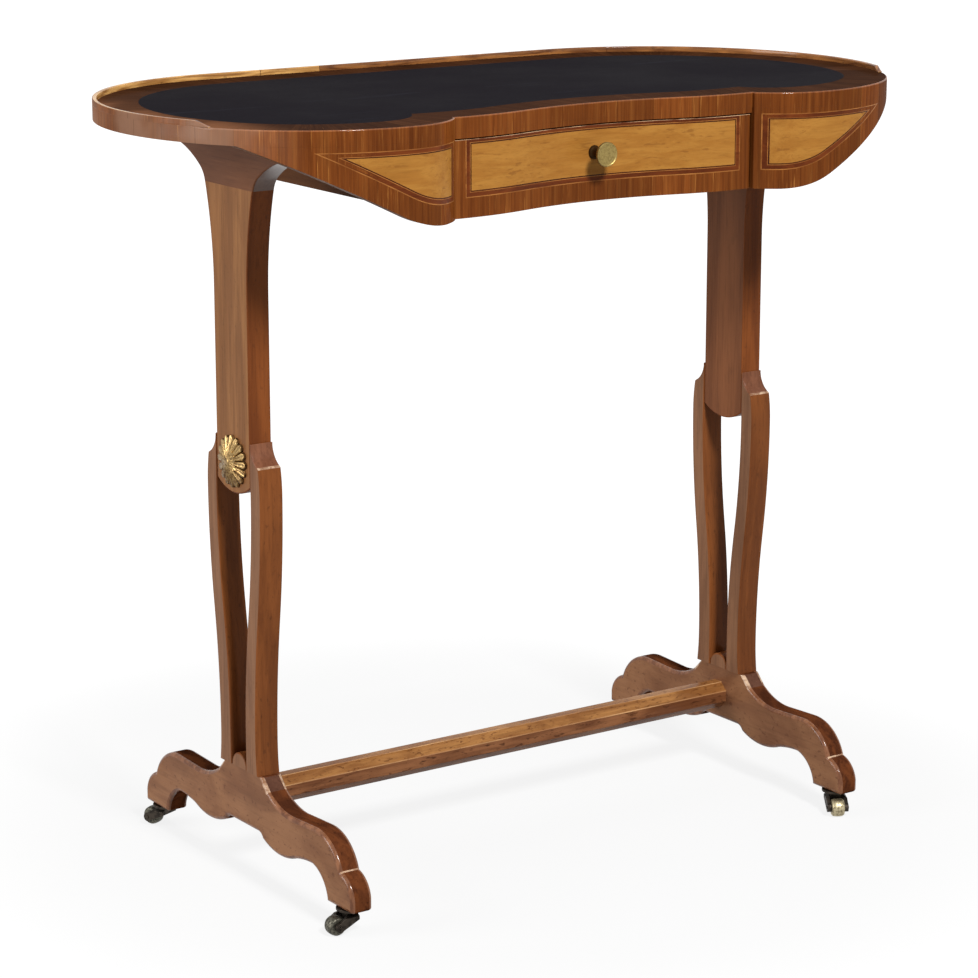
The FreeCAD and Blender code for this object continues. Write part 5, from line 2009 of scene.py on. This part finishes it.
@dataclass
class Hardware:
    """Knob, nut, screws and casters."""

    finishes: Finishes
    arris: float = 0.0004
    knob_projection: float = 0.021
    knob_foot: float = 0.0172
    knob_steps: int = 72
    wheel_steps: int = 48

    KNOB = (
        (0.0, 0.0208), (0.0060, 0.0207), (0.0092, 0.0204), (0.0096, 0.0206), (0.0101, 0.0209),
        (0.0106, 0.0208), (0.0110, 0.0203), (0.0112, 0.0197), (0.0112, 0.0182), (0.0108, 0.0177),
        (0.0078, 0.0166), (0.0052, 0.0158), (0.0044, 0.0148), (0.0042, 0.0130), (0.0042, 0.0060),
        (0.0044, 0.0040), (0.0054, 0.0024), (0.0063, 0.0012), (0.0064, 0.0002), (0.0064, -0.0004),
        (0.0, -0.0004),
    )
    TREAD = (
        (0.0090, 0.0010), (0.0089, 0.0024), (0.0086, 0.0043), (0.0079, 0.0056), (0.0070, 0.0062),
        (0.0058, 0.0063), (0.00165, 0.0063),
    )
    WHEEL = (*((radius, -along) for radius, along in reversed(TREAD)), *TREAD, (0.00165, -0.0063))

    def build(self) -> None:
        """Makes the knob and the casters and paints the rest of the small metalwork."""
        low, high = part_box("drawer_knob")
        seat = Vector(((low[0] + high[0]) / 2, low[1] + self.knob_projection, (low[2] + high[2]) / 2))
        # The knob's foot takes knob_shade: painted shade.
        brass = self.finishes["knob_brass"], self.finishes["knob_shade"]
        knob = turned("drawer_knob_turned", self.KNOB, seat, Vector((0, -1, 0)), brass, self.knob_steps,
                      self.knob_foot)
        settle(knob, "drawer", Slot.GILT, "drawer_knob")
        for node in ("knob_nut", "bearer_screws"):
            paint(node, self.finishes["dull_steel"])
        for corner in CORNERS:
            self.caster(corner)

    def caster(self, corner: str) -> None:
        """Makes one caster; the front right wheel is of paler metal than the others.

        Args:
            corner: Corner of the table.
        """
        fork = "fork_" + corner
        for stem, body in (("plate", "table"), ("fork", fork), ("axle", fork)):
            node = "caster_%s_%s" % (stem, corner)
            settle(softened(node, node + "_cast", self.arris, (self.finishes["dark_bronze"],)), body,
                   Slot.BRONZE, node)
        node = "caster_wheel_" + corner
        metal = self.finishes["pale_brass" if corner == "front_right" else "wheel_bronze"]
        low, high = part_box("caster_axle_" + corner)
        centre = (Vector(low) + Vector(high)) / 2
        axis = Vector(next(j["axis"] for j in frame["joints"] if j["name"] == "roll_" + corner))
        wheel = turned(node + "_turned", self.WHEEL, centre, axis, (metal,), self.wheel_steps)
        settle(wheel, "wheel_" + corner, Slot.BRONZE, node)


@dataclass(frozen=True)
class Lamp:
    """Square soft lamp aimed at the middle of the table."""

    name: str
    place: tuple[float, float, float]
    size: float
    power: float
    target: tuple[float, float, float] = (0, 0, 0.4)

    def build(self) -> None:
        """Hangs the lamp."""
        data = bpy.data.lights.new(self.name, "AREA")
        data.shape, data.size, data.energy = "SQUARE", self.size, self.power
        made = linked(self.name, data)
        made.location = self.place
        aim = Vector(self.target) - Vector(self.place)
        made.rotation_euler = aim.to_track_quat("-Z", "Y").to_euler()


@dataclass
class Studio:
    """Pale floor, white surroundings, soft lamps and the camera."""

    floor_half: float = 12.0
    lens: float = 117.73
    sensor: float = 36.0
    place: tuple[float, float, float] = (-1.7165, -2.47647, 1.0673)
    yaw: float = 34.598
    pitch: float = 13.691
    sky: float = 0.21
    floor_grey: float = 0.42
    floor_roughness: float = 0.9
    floor_glow: float = 0.74
    glow_strength: float = 1.15
    glow_near: float = 0.35
    glow_far: float = 1.00
    nearest: float = 0.05
    furthest: float = 60.0

    LAMPS = Lamp("key", (-0.35, -3.0, 3.2), 0.7, 168.0), Lamp("side", (-3.1, 0.9, 1.2), 1.6, 66.0)

    def floor(self) -> None:
        """Pale floor that fades to white away from the table and keeps its shadow."""
        half = self.floor_half
        corners = [(-half, -half, 0), (half, -half, 0), (half, half, 0), (-half, half, 0)]
        mesh = bpy.data.meshes.new("floor")
        mesh.from_pydata(corners, [], [(0, 1, 2, 3)])
        w = Wiring("floor")
        w.shade(Base_Color=(self.floor_grey,) * 3)
        w.shade(Roughness=self.floor_roughness, Specular_IOR_Level=0.0)
        glow = w.add("ShaderNodeEmission")
        glow.inputs["Strength"].default_value = self.glow_strength
        distance = w.add("ShaderNodeVectorMath", operation="LENGTH")
        w.feed(distance.inputs[0], w.coordinates(Grain.UPRIGHT))
        away = w.window(distance.outputs["Value"], self.glow_near, self.glow_far, self.floor_glow, 1.0)
        path = w.add("ShaderNodeLightPath")
        seen = w.sums("ADD", path.outputs["Is Camera Ray"], path.outputs["Is Glossy Ray"], clamp=True)
        seen = w.sums("ADD", seen, path.outputs["Is Transmission Ray"], clamp=True)
        mix = w.add("ShaderNodeMixShader")
        w.feed(mix.inputs[0], w.times(away, seen))
        w.feed(mix.inputs[1], w.shader.outputs[0])
        w.feed(mix.inputs[2], glow.outputs[0])
        w.feed(w.output.inputs["Surface"], mix.outputs[0])
        mesh.materials.append(w.material)
        linked("floor", mesh)

    def surroundings(self) -> None:
        """White seen by the camera and in reflections, and a softer light on the table."""
        world = bpy.data.worlds.new("studio")
        bpy.context.scene.world = world
        world.use_nodes = True
        tree = world.node_tree
        tree.nodes.clear()
        output = tree.nodes.new("ShaderNodeOutputWorld")
        background = tree.nodes.new("ShaderNodeBackground")
        path = tree.nodes.new("ShaderNodeLightPath")
        link, seen = tree.links.new, path.outputs["Is Camera Ray"]
        for ray in ("Is Glossy Ray", "Is Transmission Ray"):
            both = tree.nodes.new("ShaderNodeMath")
            both.operation, both.use_clamp = "ADD", True
            link(seen, both.inputs[0])
            link(path.outputs[ray], both.inputs[1])
            seen = both.outputs[0]
        level = tree.nodes.new("ShaderNodeMath")
        level.operation = "MULTIPLY_ADD"
        level.inputs[1].default_value, level.inputs[2].default_value = 1.0 - self.sky, self.sky
        link(seen, level.inputs[0])
        link(level.outputs[0], background.inputs["Strength"])
        background.inputs["Color"].default_value = (1, 1, 1, 1)
        link(background.outputs[0], output.inputs["Surface"])

    def camera(self) -> None:
        """Camera at the photograph's place."""
        data = bpy.data.cameras.new("camera")
        data.lens, data.sensor_width = self.lens, self.sensor
        data.clip_start, data.clip_end = self.nearest, self.furthest
        made = linked("camera", data)
        made.location = self.place
        made.rotation_euler = (radians(90 - self.pitch), 0.0, radians(-self.yaw))
        bpy.context.scene.camera = made

    def build(self) -> None:
        """Sets up the studio."""
        self.floor()
        self.surroundings()
        for lamp in self.LAMPS:
            lamp.build()
        self.camera()
        bpy.context.scene.view_settings.view_transform = "Standard"


def main() -> None:
    """Builds the studio and every sub-assembly in order."""
    Studio().build()
    finishes = Palette().build()
    for assembly in (TableTop, Frieze, Carcase, Trestles, Hardware):
        assembly(finishes).build()


if __name__ == "__main__":
    main()
